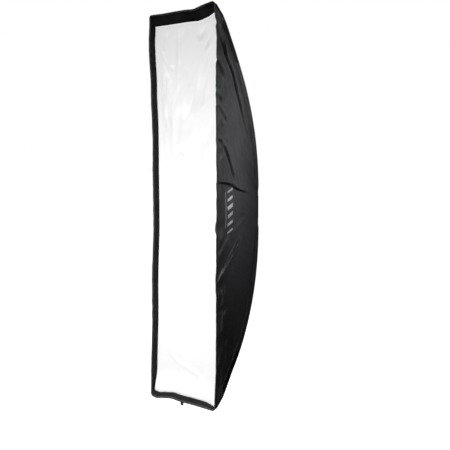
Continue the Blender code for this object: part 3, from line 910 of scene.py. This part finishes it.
def lip_grid(side_name):
    """Outer face of one lip, from the seam to the front edge, from mitre to mitre."""
    rows = LONG_LIP_ROWS if side_name in SIDES else END_LIP_ROWS
    t = np.linspace(0, 1, LIP_COLUMNS)[None, :]
    run = np.linspace(-1, 1, rows)[:, None]
    radius = CORNER_BACK + (CORNER_FRONT - CORNER_BACK) * t
    half_z = SEAM_Z + (HALF_HEIGHT - SEAM_Z) * t
    half_x = np.full_like(t, HALF_WIDTH)
    near, far = (half_z, half_x) if side_name in SIDES else (half_x, half_z)
    half_length = near - radius + radius * math.pi / 4
    walked = run * half_length
    turn = np.clip((np.abs(walked) - (near - radius)) / radius, 0, None)
    outward = far - radius + radius * np.cos(turn)
    along = np.sign(walked) * np.where(turn > 0, near - radius + radius * np.sin(turn), np.abs(walked))
    if side_name in SIDES:
        x, z = outward * SIDES[side_name][0], along
    else:
        x, z = along, outward * (1 if side_name == "top" else -1)
    y = SEAM_Y + (-DEPTH - SEAM_Y) * t + front_bow(z)
    return np.stack([x, y, z], axis=-1)


def lip_lift(name, grid):
    """How far a lip's cloth stands out. The long lips carry the side panels' creases forward."""
    t = np.linspace(0, 1, LIP_COLUMNS)[None, :]
    to_mitre = 1 - np.abs(np.linspace(-1, 1, len(grid)))[:, None]
    if name in SIDES:
        relief, shift = SIDES[name][1:]
        y, z = grid[..., 1], grid[..., 2]
        share = smooth(to_mitre, 0, 0.015) * (1 - 0.45 * smooth(t, 0.3, 1.0))
        share = share * held_back(SEAM_Y + front_bow(z), z)
        drawn = relief(y, z) + side_creasing(grid, shift)
        return (drawn_in(drawn) + eased_corner(y, z)) * share
    shift = END_LIP_SHIFTS[name]
    lift = 0.0019 * perlin(grid, 9.0, (shift, 1.0, 5.0))
    lift += 0.0009 * perlin(grid, 24.0, (shift, 7.0, 2.0))
    lift += 0.0004 * perlin(grid, 60.0, (shift, 4.0, 8.0))
    return lift * (smooth(to_mitre, 0, 0.06) * (0.25 + 0.75 * t))


def shade_caps(side_name, grid, normals, materials):
    """A darker layer of cloth that carries the corner patches forward round the lip's corners: painted shade
    on corners that face away from the light.
    """
    for end_name, end in ENDS:
        part = end * grid[:, 0, 2] > CAP_LOW
        cap = grid[part] + normals[part] * 0.0006
        fit(cloth(f"shade_cap_{end_name}_{side_name}", cap, [materials["patch"]], PATCH_CLOTH))


def make_lips(materials):
    """The four lips with their dark corner caps of painted shade, bound front edges, welts and stitching, and
    each lip's area.
    """
    lips, rows = {}, []
    profile = [
        (0.0068, -0.0007), (0.0020, -0.0010), (-0.0006, -0.0005), (-0.0015, 0.0011),
        (-0.0006, 0.0027), (0.0020, 0.0032), (0.0068, 0.0029),
        (0.0068, 0.0023), (0.0012, 0.0024), (-0.0001, 0.0011), (0.0012, -0.0002), (0.0068, -0.0001),
    ]
    pair = [materials["lip_nylon"], materials["loop"]]
    sewn_part = slice(4, -4)
    for name in ("left", "right", "top", "bottom"):
        grid = lip_grid(name)
        area = panel_area(grid)
        normals = normals_of(grid)
        if np.sum(normals * (grid * (1, 0, 1))) < 0:
            normals = -normals
        grid = slump(grid + normals * lip_lift(name, grid)[..., None])
        made = cloth(f"lip_{name}_cloth", grid, pair, LIP_CLOTH, (0, grid[0, 0, 1], 0))
        lips[name] = (fit(made, f"lip_{name}"), area)
        if name in SIDES:
            # dark caps of painted shade on the long lips' corners
            shade_caps(name, grid, normals, materials)
        front, back = grid[:, -1], unit(grid[:, -4] - grid[:, -1])
        inward = square_to(back, normals[:, -1])
        binding = sweep(f"lip_{name}_binding", front, back, inward, profile, materials["binding"])
        fit(binding)
        hem, into = (front + back * 0.0052)[sewn_part], inward[sewn_part]
        rows += [seam(hem, -into, 0.0008), seam(hem, into, 0.0031)]
        root, ahead, out = grid[:, 0], unit(grid[:, 3] - grid[:, 0]), unit(normals[:, 0])
        if name not in SIDES:
            cord = round_profile(WELT_R)
            welt = sweep(f"front_seam_{name}", root + out * 0.0004, ahead, out, cord, materials["binding"])
            fit(welt)
        rows.append(seam((root + ahead * 0.0046)[sewn_part], out[sewn_part], 0.0002))
    fit(stitch_rows("lip_stitching", rows, materials["thread"]))
    return lips


def make_tab(materials):
    """A folded loop of webbing under the middle of the lower lip."""
    low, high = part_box("pull_tab")
    middle = (low + high) / 2
    depth = high.y - low.y
    path = [
        (0.0008, 0.0030), (0.0006, 0.0), (0.0004, -0.006), (0.0, -0.0105), (0.0004, -0.0135),
        (depth / 2, -0.0150), (depth - 0.0004, -0.0135), (depth, -0.0105), (depth - 0.0004, -0.006),
        (depth - 0.0006, 0.0), (depth - 0.0008, 0.0030),
    ]
    line = curve_through(path, 60)
    across = np.linspace(-1, 1, 15)[None, :]
    narrow = 0.0078 - 0.0016 * smooth(-line[:, 1:2], 0.004, 0.015)
    x = middle.x + across * narrow
    y = low.y + line[:, 0:1] + 0 * across
    z = high.z + 0.0006 + line[:, 1:2] + 0.0006 * (1 - across**2) * smooth(-line[:, 1:2], 0.0, 0.01)
    grid = slump(np.stack([x, y, z], axis=-1))
    centre = (middle.x, middle.y, float(grid[..., 2].mean()))
    tab = cloth("pull_tab_loop", grid, [materials["webbing"]], TAB_CLOTH, centre)
    return fit(tab, "pull_tab")


# ---- the front cloth and its tapes ----

DIFFUSER_ROWS = 330
DIFFUSER_COLUMNS = 96
DIFFUSER_HEM = 0.0108
TAPE_X = DIFFUSER_X - 0.0018
TAPE_Z = DIFFUSER_Z - 0.0048


def upright_grid(half_x, half_z, rows, columns):
    """Points of a flat rectangle in the plane y = 0."""
    x = np.linspace(-half_x, half_x, columns)[None, :]
    z = np.linspace(-half_z, half_z, rows)[:, None]
    return np.stack(np.broadcast_arrays(x, 0.0, z), axis=-1)


def front_points(x, z, y):
    """Points of a layer parallel to the front cloth, y behind the corners' plane."""
    x, z = np.broadcast_arrays(x, z)
    dropped = smooth(-z, 0.69, 0.755)
    return slump(np.stack([x, y + front_bow(z) - 0.0150 * dropped, z - 0.0195 * dropped], axis=-1))


def diffuser_lift(flat, to_edge):
    """Wrinkles, creases and packing folds of the white front, strongest towards the top."""
    x, z = flat[..., 0], flat[..., 2]
    slanted = np.stack([x - z * 0.35, flat[..., 1], z * 0.22 + x * 0.12], axis=-1)
    upper = smooth(z, -0.25, 0.55)
    lift = (0.0052 * upper + 0.0012) * perlin(slanted, 13.0, (5.0, 0.0, 1.7))
    lift += (0.0036 * upper + 0.0007) * perlin(slanted, 34.0, (9.0, 0.0, 6.1))
    lift += 0.0005 * perlin(flat, 24.0, (2.0, 0.0, 3.3))
    drawn = 1 - np.abs(perlin(slanted, 17.0, (4.0, 0.0, 2.2)))
    lift += (0.0038 * upper + 0.0004) * drawn**6
    for line, height, width in DIFFUSER_CREASES:
        lift += crease(x, z, line, [(height, 0.0, width), (-0.6 * height, 1.9 * width, width)])
    upright, level = np.exp(-np.abs(x - 0.012) / 0.004), np.exp(-np.abs(z - 0.475) / 0.004)
    packed = 0.00045 * (upright * upper + level * upper)
    return (lift + packed) * smooth(to_edge, 0.012, 0.06)


def make_diffuser(materials):
    flat = upright_grid(DIFFUSER_X, DIFFUSER_Z, DIFFUSER_ROWS, DIFFUSER_COLUMNS)
    x, z = flat[..., 0], flat[..., 2]
    to_edge = np.minimum(DIFFUSER_X - np.abs(x), DIFFUSER_Z - np.abs(z))
    lift = diffuser_lift(flat, to_edge)
    hem = 0.0004 * (1 - smooth(to_edge, 0.0105, 0.0120))
    grid = front_points(x, z, DIFFUSER_Y - DIFFUSER_CLOTH - 0.0004)
    deepest = grid[..., 1] + 0.0003
    grid[..., 1] -= np.abs(lift) * 0.3 + lift + hem - 0.0004
    grid[..., 1] = np.minimum(grid[..., 1], deepest)
    made = cloth("diffuser_cloth", grid, [materials["diffuser"]], DIFFUSER_CLOTH)
    fit(made, "front_diffuser", "front_diffuser")
    column = round(DIFFUSER_HEM / (2 * DIFFUSER_X) * (DIFFUSER_COLUMNS - 1))
    row = round(DIFFUSER_HEM / (2 * DIFFUSER_Z) * (DIFFUSER_ROWS - 1))
    upright, level = slice(row, -row), slice(column, -column)
    paths = (grid[upright, column], grid[upright, -1 - column], grid[row, level], grid[-1 - row, level])
    rows = [seam(path, FORWARD) for path in paths]
    fit(stitch_rows("diffuser_stitching", rows, materials["white_thread"]), body="front_diffuser")
    return made


def loop_points(half_x, half_z, radius, count):
    """Points round a rounded rectangle, the same number on each side."""
    corners = ((1, 1), (-1, 1), (-1, -1), (1, -1))

    def corner_point(index, angle):
        a, b = corners[index % 4]
        return (
            a * (half_x - radius) + radius * math.cos(angle),
            b * (half_z - radius) + radius * math.sin(angle),
        )

    points = []
    for index in range(4):
        for turn in np.linspace(0, math.pi / 2, 7):
            points.append(corner_point(index, index * math.pi / 2 + turn))
        start = np.array(points[-1])
        end = np.array(corner_point(index + 1, (index + 1) * math.pi / 2))
        for share in np.linspace(0, 1, count + 2)[1:-1]:
            points.append(tuple(start + (end - start) * share))
    return np.array(points)


def make_hook_tape(materials):
    """The hook tape sewn round the back of the front cloth."""
    layers = []
    for y, inset in ((0.0004, 0.0), (0.0017, 0.0), (0.0017, TAPE_WIDTH), (0.0004, TAPE_WIDTH)):
        ring = loop_points(TAPE_X - inset, TAPE_Z - inset, 0.003, 180)
        behind = 0.0007 * hump(ring[:, 1], -0.695, 0.03)
        layers.append(front_points(ring[:, 0], ring[:, 1], DIFFUSER_Y + y + behind))
    grid = np.stack(layers, axis=0)
    rows, columns = grid.shape[:2]
    last = (rows - 1) * columns
    faces = grid_faces(rows, columns, wrap=True)
    faces += [(last + j, last + (j + 1) % columns, (j + 1) % columns, j) for j in range(columns)]
    tape = grid_object("diffuser_hook_strip", grid, faces, [materials["hook"]], False, ways=(1, 0))
    fit(tape, "diffuser_hook_tape", "front_diffuser")


def make_loop_tapes(materials):
    """The loop tapes on the lips that the hook tape grips."""
    tapes = {}
    inner = TAPE_X - TAPE_WIDTH - 0.0005
    for name, sign in (("left", -1), ("right", 1), ("bottom", -1), ("top", 1)):
        if name in SIDES:
            x = sign * np.linspace(TAPE_X - TAPE_WIDTH, TAPE_X, 9)[None, :]
            z = np.linspace(-TAPE_Z, TAPE_Z, 120)[:, None]
        else:
            x = np.linspace(-inner, inner, 60)[None, :]
            z = sign * np.linspace(TAPE_Z - TAPE_WIDTH, TAPE_Z, 9)[:, None]
        grid = front_points(x, z, DIFFUSER_Y + 0.0023)
        tape = cloth(f"loop_strip_{name}", grid, [materials["loop"]], TAPE_CLOTH)
        tapes[name] = fit(tape, f"loop_tape_{name}")
    return tapes


# ---- inner baffle ----


def make_baffle(materials):
    """The inner cloth, scalloped between its straps, with a white tape bound round its edge."""
    flat = upright_grid(BAFFLE_X, BAFFLE_Z, 150, 48)
    x, z = flat[..., 0], flat[..., 2]
    held = np.exp(-((np.abs(z) / 0.45 - 1) ** 2) / 0.02) + hump(z, 0.0, 0.03)
    scallop = 0.004 * (1 - np.clip(held, 0, 1)) * (np.abs(x) / BAFFLE_X) ** 3
    lift = 0.0028 * perlin(flat * (1, 1, 0.5), 12.0, (1.0, 4.0, 2.0))
    lift += 0.0008 * perlin(flat, 40.0, (3.0, 4.0, 7.0))
    lift *= smooth(BAFFLE_X - np.abs(x), 0, 0.03)
    grid = np.stack([x - np.sign(x) * scallop, BAFFLE_Y + lift, z], axis=-1)
    made = cloth("baffle_cloth", grid, [materials["diffuser"]], BAFFLE_CLOTH, (0, 0, 0))
    fit(made, "inner_baffle")
    profile = [
        (0.0075, -0.0010), (0.0, -0.0012), (-0.0008, 0.0), (0.0, 0.0012), (0.0075, 0.0010),
        (0.0075, 0.0005), (0.0002, 0.0005), (0.0002, -0.0005), (0.0075, -0.0005),
    ]
    borders = {
        "left": (grid[:, 0], grid[:, 2]),
        "right": (grid[:, -1], grid[:, -3]),
        "bottom": (grid[0], grid[2]),
        "top": (grid[-1], grid[-3]),
    }
    for name, (edge, inner) in borders.items():
        path, back = edge + REARWARD * 0.0003, unit(inner - edge)
        tape = sweep(f"baffle_binding_{name}", path, back, REARWARD, profile, materials["white_tape"])
        fit(tape)
    return made


def make_straps(materials):
    """Webbing straps that hold the baffle to the side panels, sewn with a crossed box at each end."""
    straps, rows = [], []
    box = [(-0.0135, -0.0095), (-0.0025, -0.0095), (-0.0025, 0.0095), (-0.0135, 0.0095)]
    sewing_order = (0, 1, 2, 3, 0, 2, 3, 1)
    along = np.linspace(0, 1, 24)[:, None]
    across = np.linspace(-1, 1, 15)[None, :]
    arch = np.sin(np.pi * along)
    for side_name, side in (("left", -1), ("right", 1)):
        for level in ("lower", "middle", "upper"):
            node = f"baffle_strap_{level}_{side_name}"
            low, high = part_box(node)
            inner, outer = (low.x, high.x) if side > 0 else (high.x, low.x)
            middle, half = (low.z + high.z) / 2, (high.z - low.z) / 2
            x = inner - side * 0.016 + (outer - inner + side * 0.016) * along + 0 * across
            z = middle + across * half * (1 - 0.04 * arch) - 0.0014 * arch
            y = low.y + 0.0002 + 0.0010 * arch * (1 - 0.3 * across**2)
            grid = np.stack([x, y - 0.0006 * (1 - smooth(along, 0.02, 0.16)), z], axis=-1)
            name = f"strap_{level}_{side_name}"
            strap = cloth(name, grid, [materials["webbing"]], STRAP_CLOTH, (0, 0, middle))
            straps.append(fit(strap, node))
            turns = [(inner + side * box[i][0], low.y - 0.0007, middle + box[i][1]) for i in sewing_order]
            path = np.vstack([np.linspace(start, end, 12) for start, end in zip(turns, turns[1:])])
            rows.append(seam(path, FORWARD, 0.0))
    fit(stitch_rows("strap_stitching", rows, materials["thread"], pitch=0.0026, length=0.0019))
    return straps


# ---- corner pockets ----

POCKET_START = 0.0058
POCKET_LENGTH = 0.026
POCKET_R = 0.0064
POCKET_FLAT = 0.0012


def pocket_grid(end, side):
    """Rings of points along one rod's tip, from a round mouth to a flattened, sewn end."""
    x = ROD_X + ROD_SPREAD * (ROD_END - ROD_X_Z)
    tip = np.array((side * x, ROD_APEX_Y - ROD_BOW * ROD_END**2, end * ROD_END))
    axis = unit(np.array((side * ROD_SPREAD, -2 * ROD_BOW * ROD_END, float(end))))
    flat_way = unit(np.cross(axis, np.array((float(side), 0.0, 0.0))))
    thick_way = np.cross(axis, flat_way)
    grid = []
    for share in np.linspace(0, 1, 30):
        place = tip + axis * (POCKET_START - POCKET_LENGTH + POCKET_LENGTH * share)
        closed = smooth(share, 0.80, 1.0)
        wide = POCKET_R * (1 + 0.02 * math.sin(9 * share))
        thick = POCKET_R * (1 - closed) + POCKET_FLAT * closed
        ring = []
        for turn in np.linspace(0, 2 * math.pi, 28, endpoint=False):
            bend = 0.0003 * math.sin(3 * turn + 7 * share)
            flat_part = flat_way * (wide + bend) * math.cos(turn)
            ring.append(place + flat_part + thick_way * (thick + bend * (1 - closed)) * math.sin(turn))
        grid.append(ring)
    return np.array(grid)


def make_pockets(materials):
    """Flattened sleeves of webbing that hold the rod tips in the front corners."""
    rows = []
    for end_name, end in reversed(ENDS):
        for side_name, side in (("left", -1), ("right", 1)):
            where = f"{end_name}_{side_name}"
            grid = pocket_grid(end, side)
            count, around = grid.shape[:2]
            faces = grid_faces(count, around, wrap=True)
            faces.append(tuple((count - 1) * around + j for j in range(around)))
            start = grid[0, 0]
            turn = np.cross(grid[0, 1] - start, grid[1, 0] - start) @ (start - grid[0].mean(axis=0))
            made = grid_object(f"pocket_{where}", grid, faces, [materials["webbing"]], turn < 0)
            thicken(made, POCKET_CLOTH)
            fit(made, f"corner_pocket_{where}")
            sewn_part = grid[3:-2]
            for quarter in (7, 21):
                line = sewn_part[:, quarter]
                rows.append(seam(line, unit(line - sewn_part.mean(axis=1))))
    fit(stitch_rows("pocket_stitching", rows, materials["thread"], pitch=0.0028, length=0.0020))


# ---- rear flaps ----

FLAP_INNER_R = 0.0605
FLAP_HALF_ANGLE = math.radians(35)
FLAP_PLANE = -0.0009
FLAP_HEM_COLUMN = 6
FLAP_HEM_ROW = 19


def make_flaps(materials):
    """Fabric flaps that close the gap between the shell and the ring, hemmed on three sides."""
    flaps = {}
    pair = [materials["nylon"], materials["silver"]]
    across = np.linspace(-1, 1, 72)[None, :, None]
    inward = np.linspace(0, 1, 26)[:, None, None]
    angle = across * FLAP_HALF_ANGLE
    for name, turn, outer, half_length, shift in (
        ("right", 0.0, 0.0720, 0.050, 1.0),
        ("top", math.pi / 2, 0.0760, 0.054, 2.0),
        ("left", math.pi, 0.0720, 0.050, 3.0),
        ("bottom", -math.pi / 2, 0.0760, 0.054, 4.0),
    ):
        direction = np.array((math.cos(turn), 0.0, math.sin(turn)))
        along = np.array((-direction[2], 0.0, direction[0]))
        hinge = direction * outer + along * across * half_length
        arc = direction * (FLAP_INNER_R * np.cos(angle)) + along * (FLAP_INNER_R * np.sin(angle))
        grid = hinge + (arc - hinge) * inward
        to_side = (1 - np.abs(across[..., 0])) * half_length
        to_arc = (1 - inward[..., 0]) * (outer - FLAP_INNER_R)
        ripple = 0.00035 * (1 + perlin(grid, 60.0, (shift, 0.0, 0.0))) * smooth(inward[..., 0], 0, 0.3)
        hem = 0.0003 * (1 - smooth(np.minimum(to_side, to_arc), 0.0052, 0.0062))
        grid[..., 1] = FLAP_PLANE + 0.0005 + ripple + hem
        flap = cloth(f"flap_{name}", grid, pair, FLAP_CLOTH, (0, -1, 0))
        flaps[name] = fit(flap, f"rear_flap_{name}", f"rear_flap_{name}")
        side_part, column = grid[1:FLAP_HEM_ROW], FLAP_HEM_COLUMN
        paths = (side_part[:, column], grid[FLAP_HEM_ROW, column:-column], side_part[:, -1 - column])
        rows = [seam(path, REARWARD) for path in paths]
        sewn = stitch_rows(f"flap_{name}_stitching", rows, materials["thread"], pitch=0.0034, length=0.0025)
        fit(sewn, body=f"rear_flap_{name}")
    return flaps


# ---- printed mark ----

BAR_HALF_HEIGHTS = (0.009, 0.013, 0.017, 0.017, 0.013, 0.009)


def on_panel(grid, normals, y, z):
    """The point and normal of a side panel nearest to each (y, z)."""
    flat, outward = grid.reshape(-1, 3), normals.reshape(-1, 3)
    places, ups = [], []
    for want_y, want_z in zip(y.ravel(), z.ravel()):
        gap = (flat[:, 1] - want_y) ** 2 + (flat[:, 2] - want_z) ** 2
        near = np.argpartition(gap, 4)[:4]
        weight = 1 / (gap[near] + 1e-9)
        weight /= weight.sum()
        place = (flat[near] * weight[:, None]).sum(axis=0)
        places.append((place[0], want_y, want_z))
        ups.append((outward[near] * weight[:, None]).sum(axis=0))
    return np.array(places).reshape(*y.shape, 3), unit(np.array(ups)).reshape(*y.shape, 3)


def make_mark(panel, materials):
    """A plain striped mark printed on the right panel: slanted bars with a thin rule beside them."""
    part = np.abs(panel.grid[:, 0, 2] + 0.012) < 0.16
    grid, normals = panel.grid[part], panel.normals[part]
    shapes = [
        (f"printed_bar_{index + 1}", "ink", (-0.3115, 0.072 - 0.033 * index, 0.0275, height * 0.46, 0.30))
        for index, height in enumerate(BAR_HALF_HEIGHTS)
    ]
    shapes.append(("printed_rule", "grey_ink", (-0.3560, -0.008, 0.0020, 0.072, 0.0)))
    for name, ink, (middle_y, middle_z, half_y, half_z, slant) in shapes:
        u = np.linspace(-1, 1, 9 if half_y > 0.003 else 3)[None, :]
        v = np.linspace(-1, 1, max(int(half_z / 0.0012), 9))[:, None]
        y = middle_y + u * half_y + 0 * v
        z = middle_z + v * half_z + slant * u * half_y
        place, up = on_panel(grid, normals, y, z)
        fit(cloth(name, place + up * 0.00030, [materials[ink]], PRINT))


# ---- metal and plastic carried over from CAD ----

# The finish of every CAD node that shows, by how its name starts. The first match counts.
CAD_FINISHES = {
    "bayonet_insert": "coat",
    "speedring": "coat",
    "retaining_ring": "coat",
    "rod_socket": "coat",
    "rod_tip": "plastic",
    "rod_": "spring",
    "ring_screw": "zinc",
    "lock_": "plastic",
}


def finish_cad(materials):
    for name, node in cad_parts.items():
        finish = next((CAD_FINISHES[start] for start in CAD_FINISHES if name.startswith(start)), None)
        if finish is not None:
            for slot in node.material_slots:
                slot.material = materials[finish]


# ---- studio ----

FLOOR_Z = -1.12
FLOOR_REACH = 14
ROOM_TINT = (0.93, 0.97, 1.0, 1)
ROOM_LIGHT = 0.042
WHITE = (1, 1, 1, 1)
FLOOR_GREY = (0.5, 0.5, 0.5, 1)

# Each light's place, target, size in metres, power in watts, colour and spread in degrees.
LIGHTS = {
    "key": ((1.62, -0.10, 2.58), (0.15, -0.28, 0.295), (0.32, 0.32), 0.61, (0.955, 0.97, 1.0), 12),
    "front_high": ((0.45, -3.4, 2.6), (-0.1, -0.4, -0.64), (0.7, 1.3), 20.9, (1, 1, 1), 62),
    "front_low": ((0.50, -2.9, 0.50), (-0.1, -0.4, -0.38), (0.35, 0.8), 3.2, (1, 1, 1), 50),
    "back": ((-1.7, 2.3, 1.9), (0, -0.1, 0), (1.6, 1.6), 75, (1, 1, 1), 180),
}

LENS_MM = 53.615
SENSOR_MM = 36.0
CAMERA_PLACE = (1.8202, -2.465, 0.0426)
CAMERA_PITCH = 87.665
CAMERA_YAW = 38.20


def area_light(name, place, target, size, power, colour, spread):
    data = bpy.data.lights.new(name, "AREA")
    data.shape = "RECTANGLE"
    data.size, data.size_y = size
    data.energy = power
    data.color = colour
    data.spread = math.radians(spread)
    light = bpy.data.objects.new(name, data)
    bpy.context.scene.collection.objects.link(light)
    light.location = place
    direction = Vector(target) - Vector(place)
    light.rotation_euler = direction.to_track_quat("-Z", "Y").to_euler()


def make_world():
    """A white backdrop for the camera, and a dim cool room for everything else."""
    world = bpy.data.worlds.new("studio")
    bpy.context.scene.world = world
    world.use_nodes = True
    tree = world.node_tree
    tree.nodes.clear()
    output = tree.nodes.new("ShaderNodeOutputWorld")
    mix = tree.nodes.new("ShaderNodeMixShader")
    paths = tree.nodes.new("ShaderNodeLightPath")
    tree.links.new(paths.outputs["Is Camera Ray"], mix.inputs[0])
    for index, (colour, strength) in enumerate(((ROOM_TINT, ROOM_LIGHT), (WHITE, 1.0))):
        shader = tree.nodes.new("ShaderNodeBackground")
        shader.inputs["Color"].default_value = colour
        shader.inputs["Strength"].default_value = strength
        tree.links.new(shader.outputs[0], mix.inputs[1 + index])
    tree.links.new(mix.outputs[0], output.inputs[0])


def make_floor():
    reach = FLOOR_REACH
    corners = [(-reach, -reach), (reach, -reach), (reach, reach), (-reach, reach)]
    pale = Nodes("pale_floor")
    pale.set(Base_Color=FLOOR_GREY, Roughness=0.9, Emission_Color=WHITE, Emission_Strength=1.0)
    points = [(x, y, FLOOR_Z) for x, y in corners]
    floor = mesh_object("floor", points, [(0, 1, 2, 3)], [(0, 0), (1, 0), (1, 1), (0, 1)], [pale.material])
    floor.visible_diffuse = False
    floor.visible_glossy = False


def make_studio():
    settings = bpy.context.scene.view_settings
    settings.view_transform = "Standard"
    settings.look = "None"
    make_world()
    for name, light in LIGHTS.items():
        area_light(name, *light)
    make_floor()


def make_camera():
    data = bpy.data.cameras.new("camera")
    data.sensor_width = SENSOR_MM
    data.lens = LENS_MM
    camera = bpy.data.objects.new("camera", data)
    camera.location = CAMERA_PLACE
    camera.rotation_euler = (math.radians(CAMERA_PITCH), 0, math.radians(CAMERA_YAW))
    bpy.context.scene.collection.objects.link(camera)
    bpy.context.scene.camera = camera


def main():
    materials = make_materials()
    make_studio()
    make_camera()
    panels = make_shell(materials)
    piping(panels, materials)
    shade_patches(panels, materials)
    make_neck(panels, materials)
    make_mark(panels["right"], materials)
    lips = make_lips(materials)
    tab = make_tab(materials)
    diffuser = make_diffuser(materials)
    make_hook_tape(materials)
    tapes = make_loop_tapes(materials)
    baffle = make_baffle(materials)
    straps = make_straps(materials)
    make_pockets(materials)
    flaps = make_flaps(materials)
    finish_cad(materials)


main()
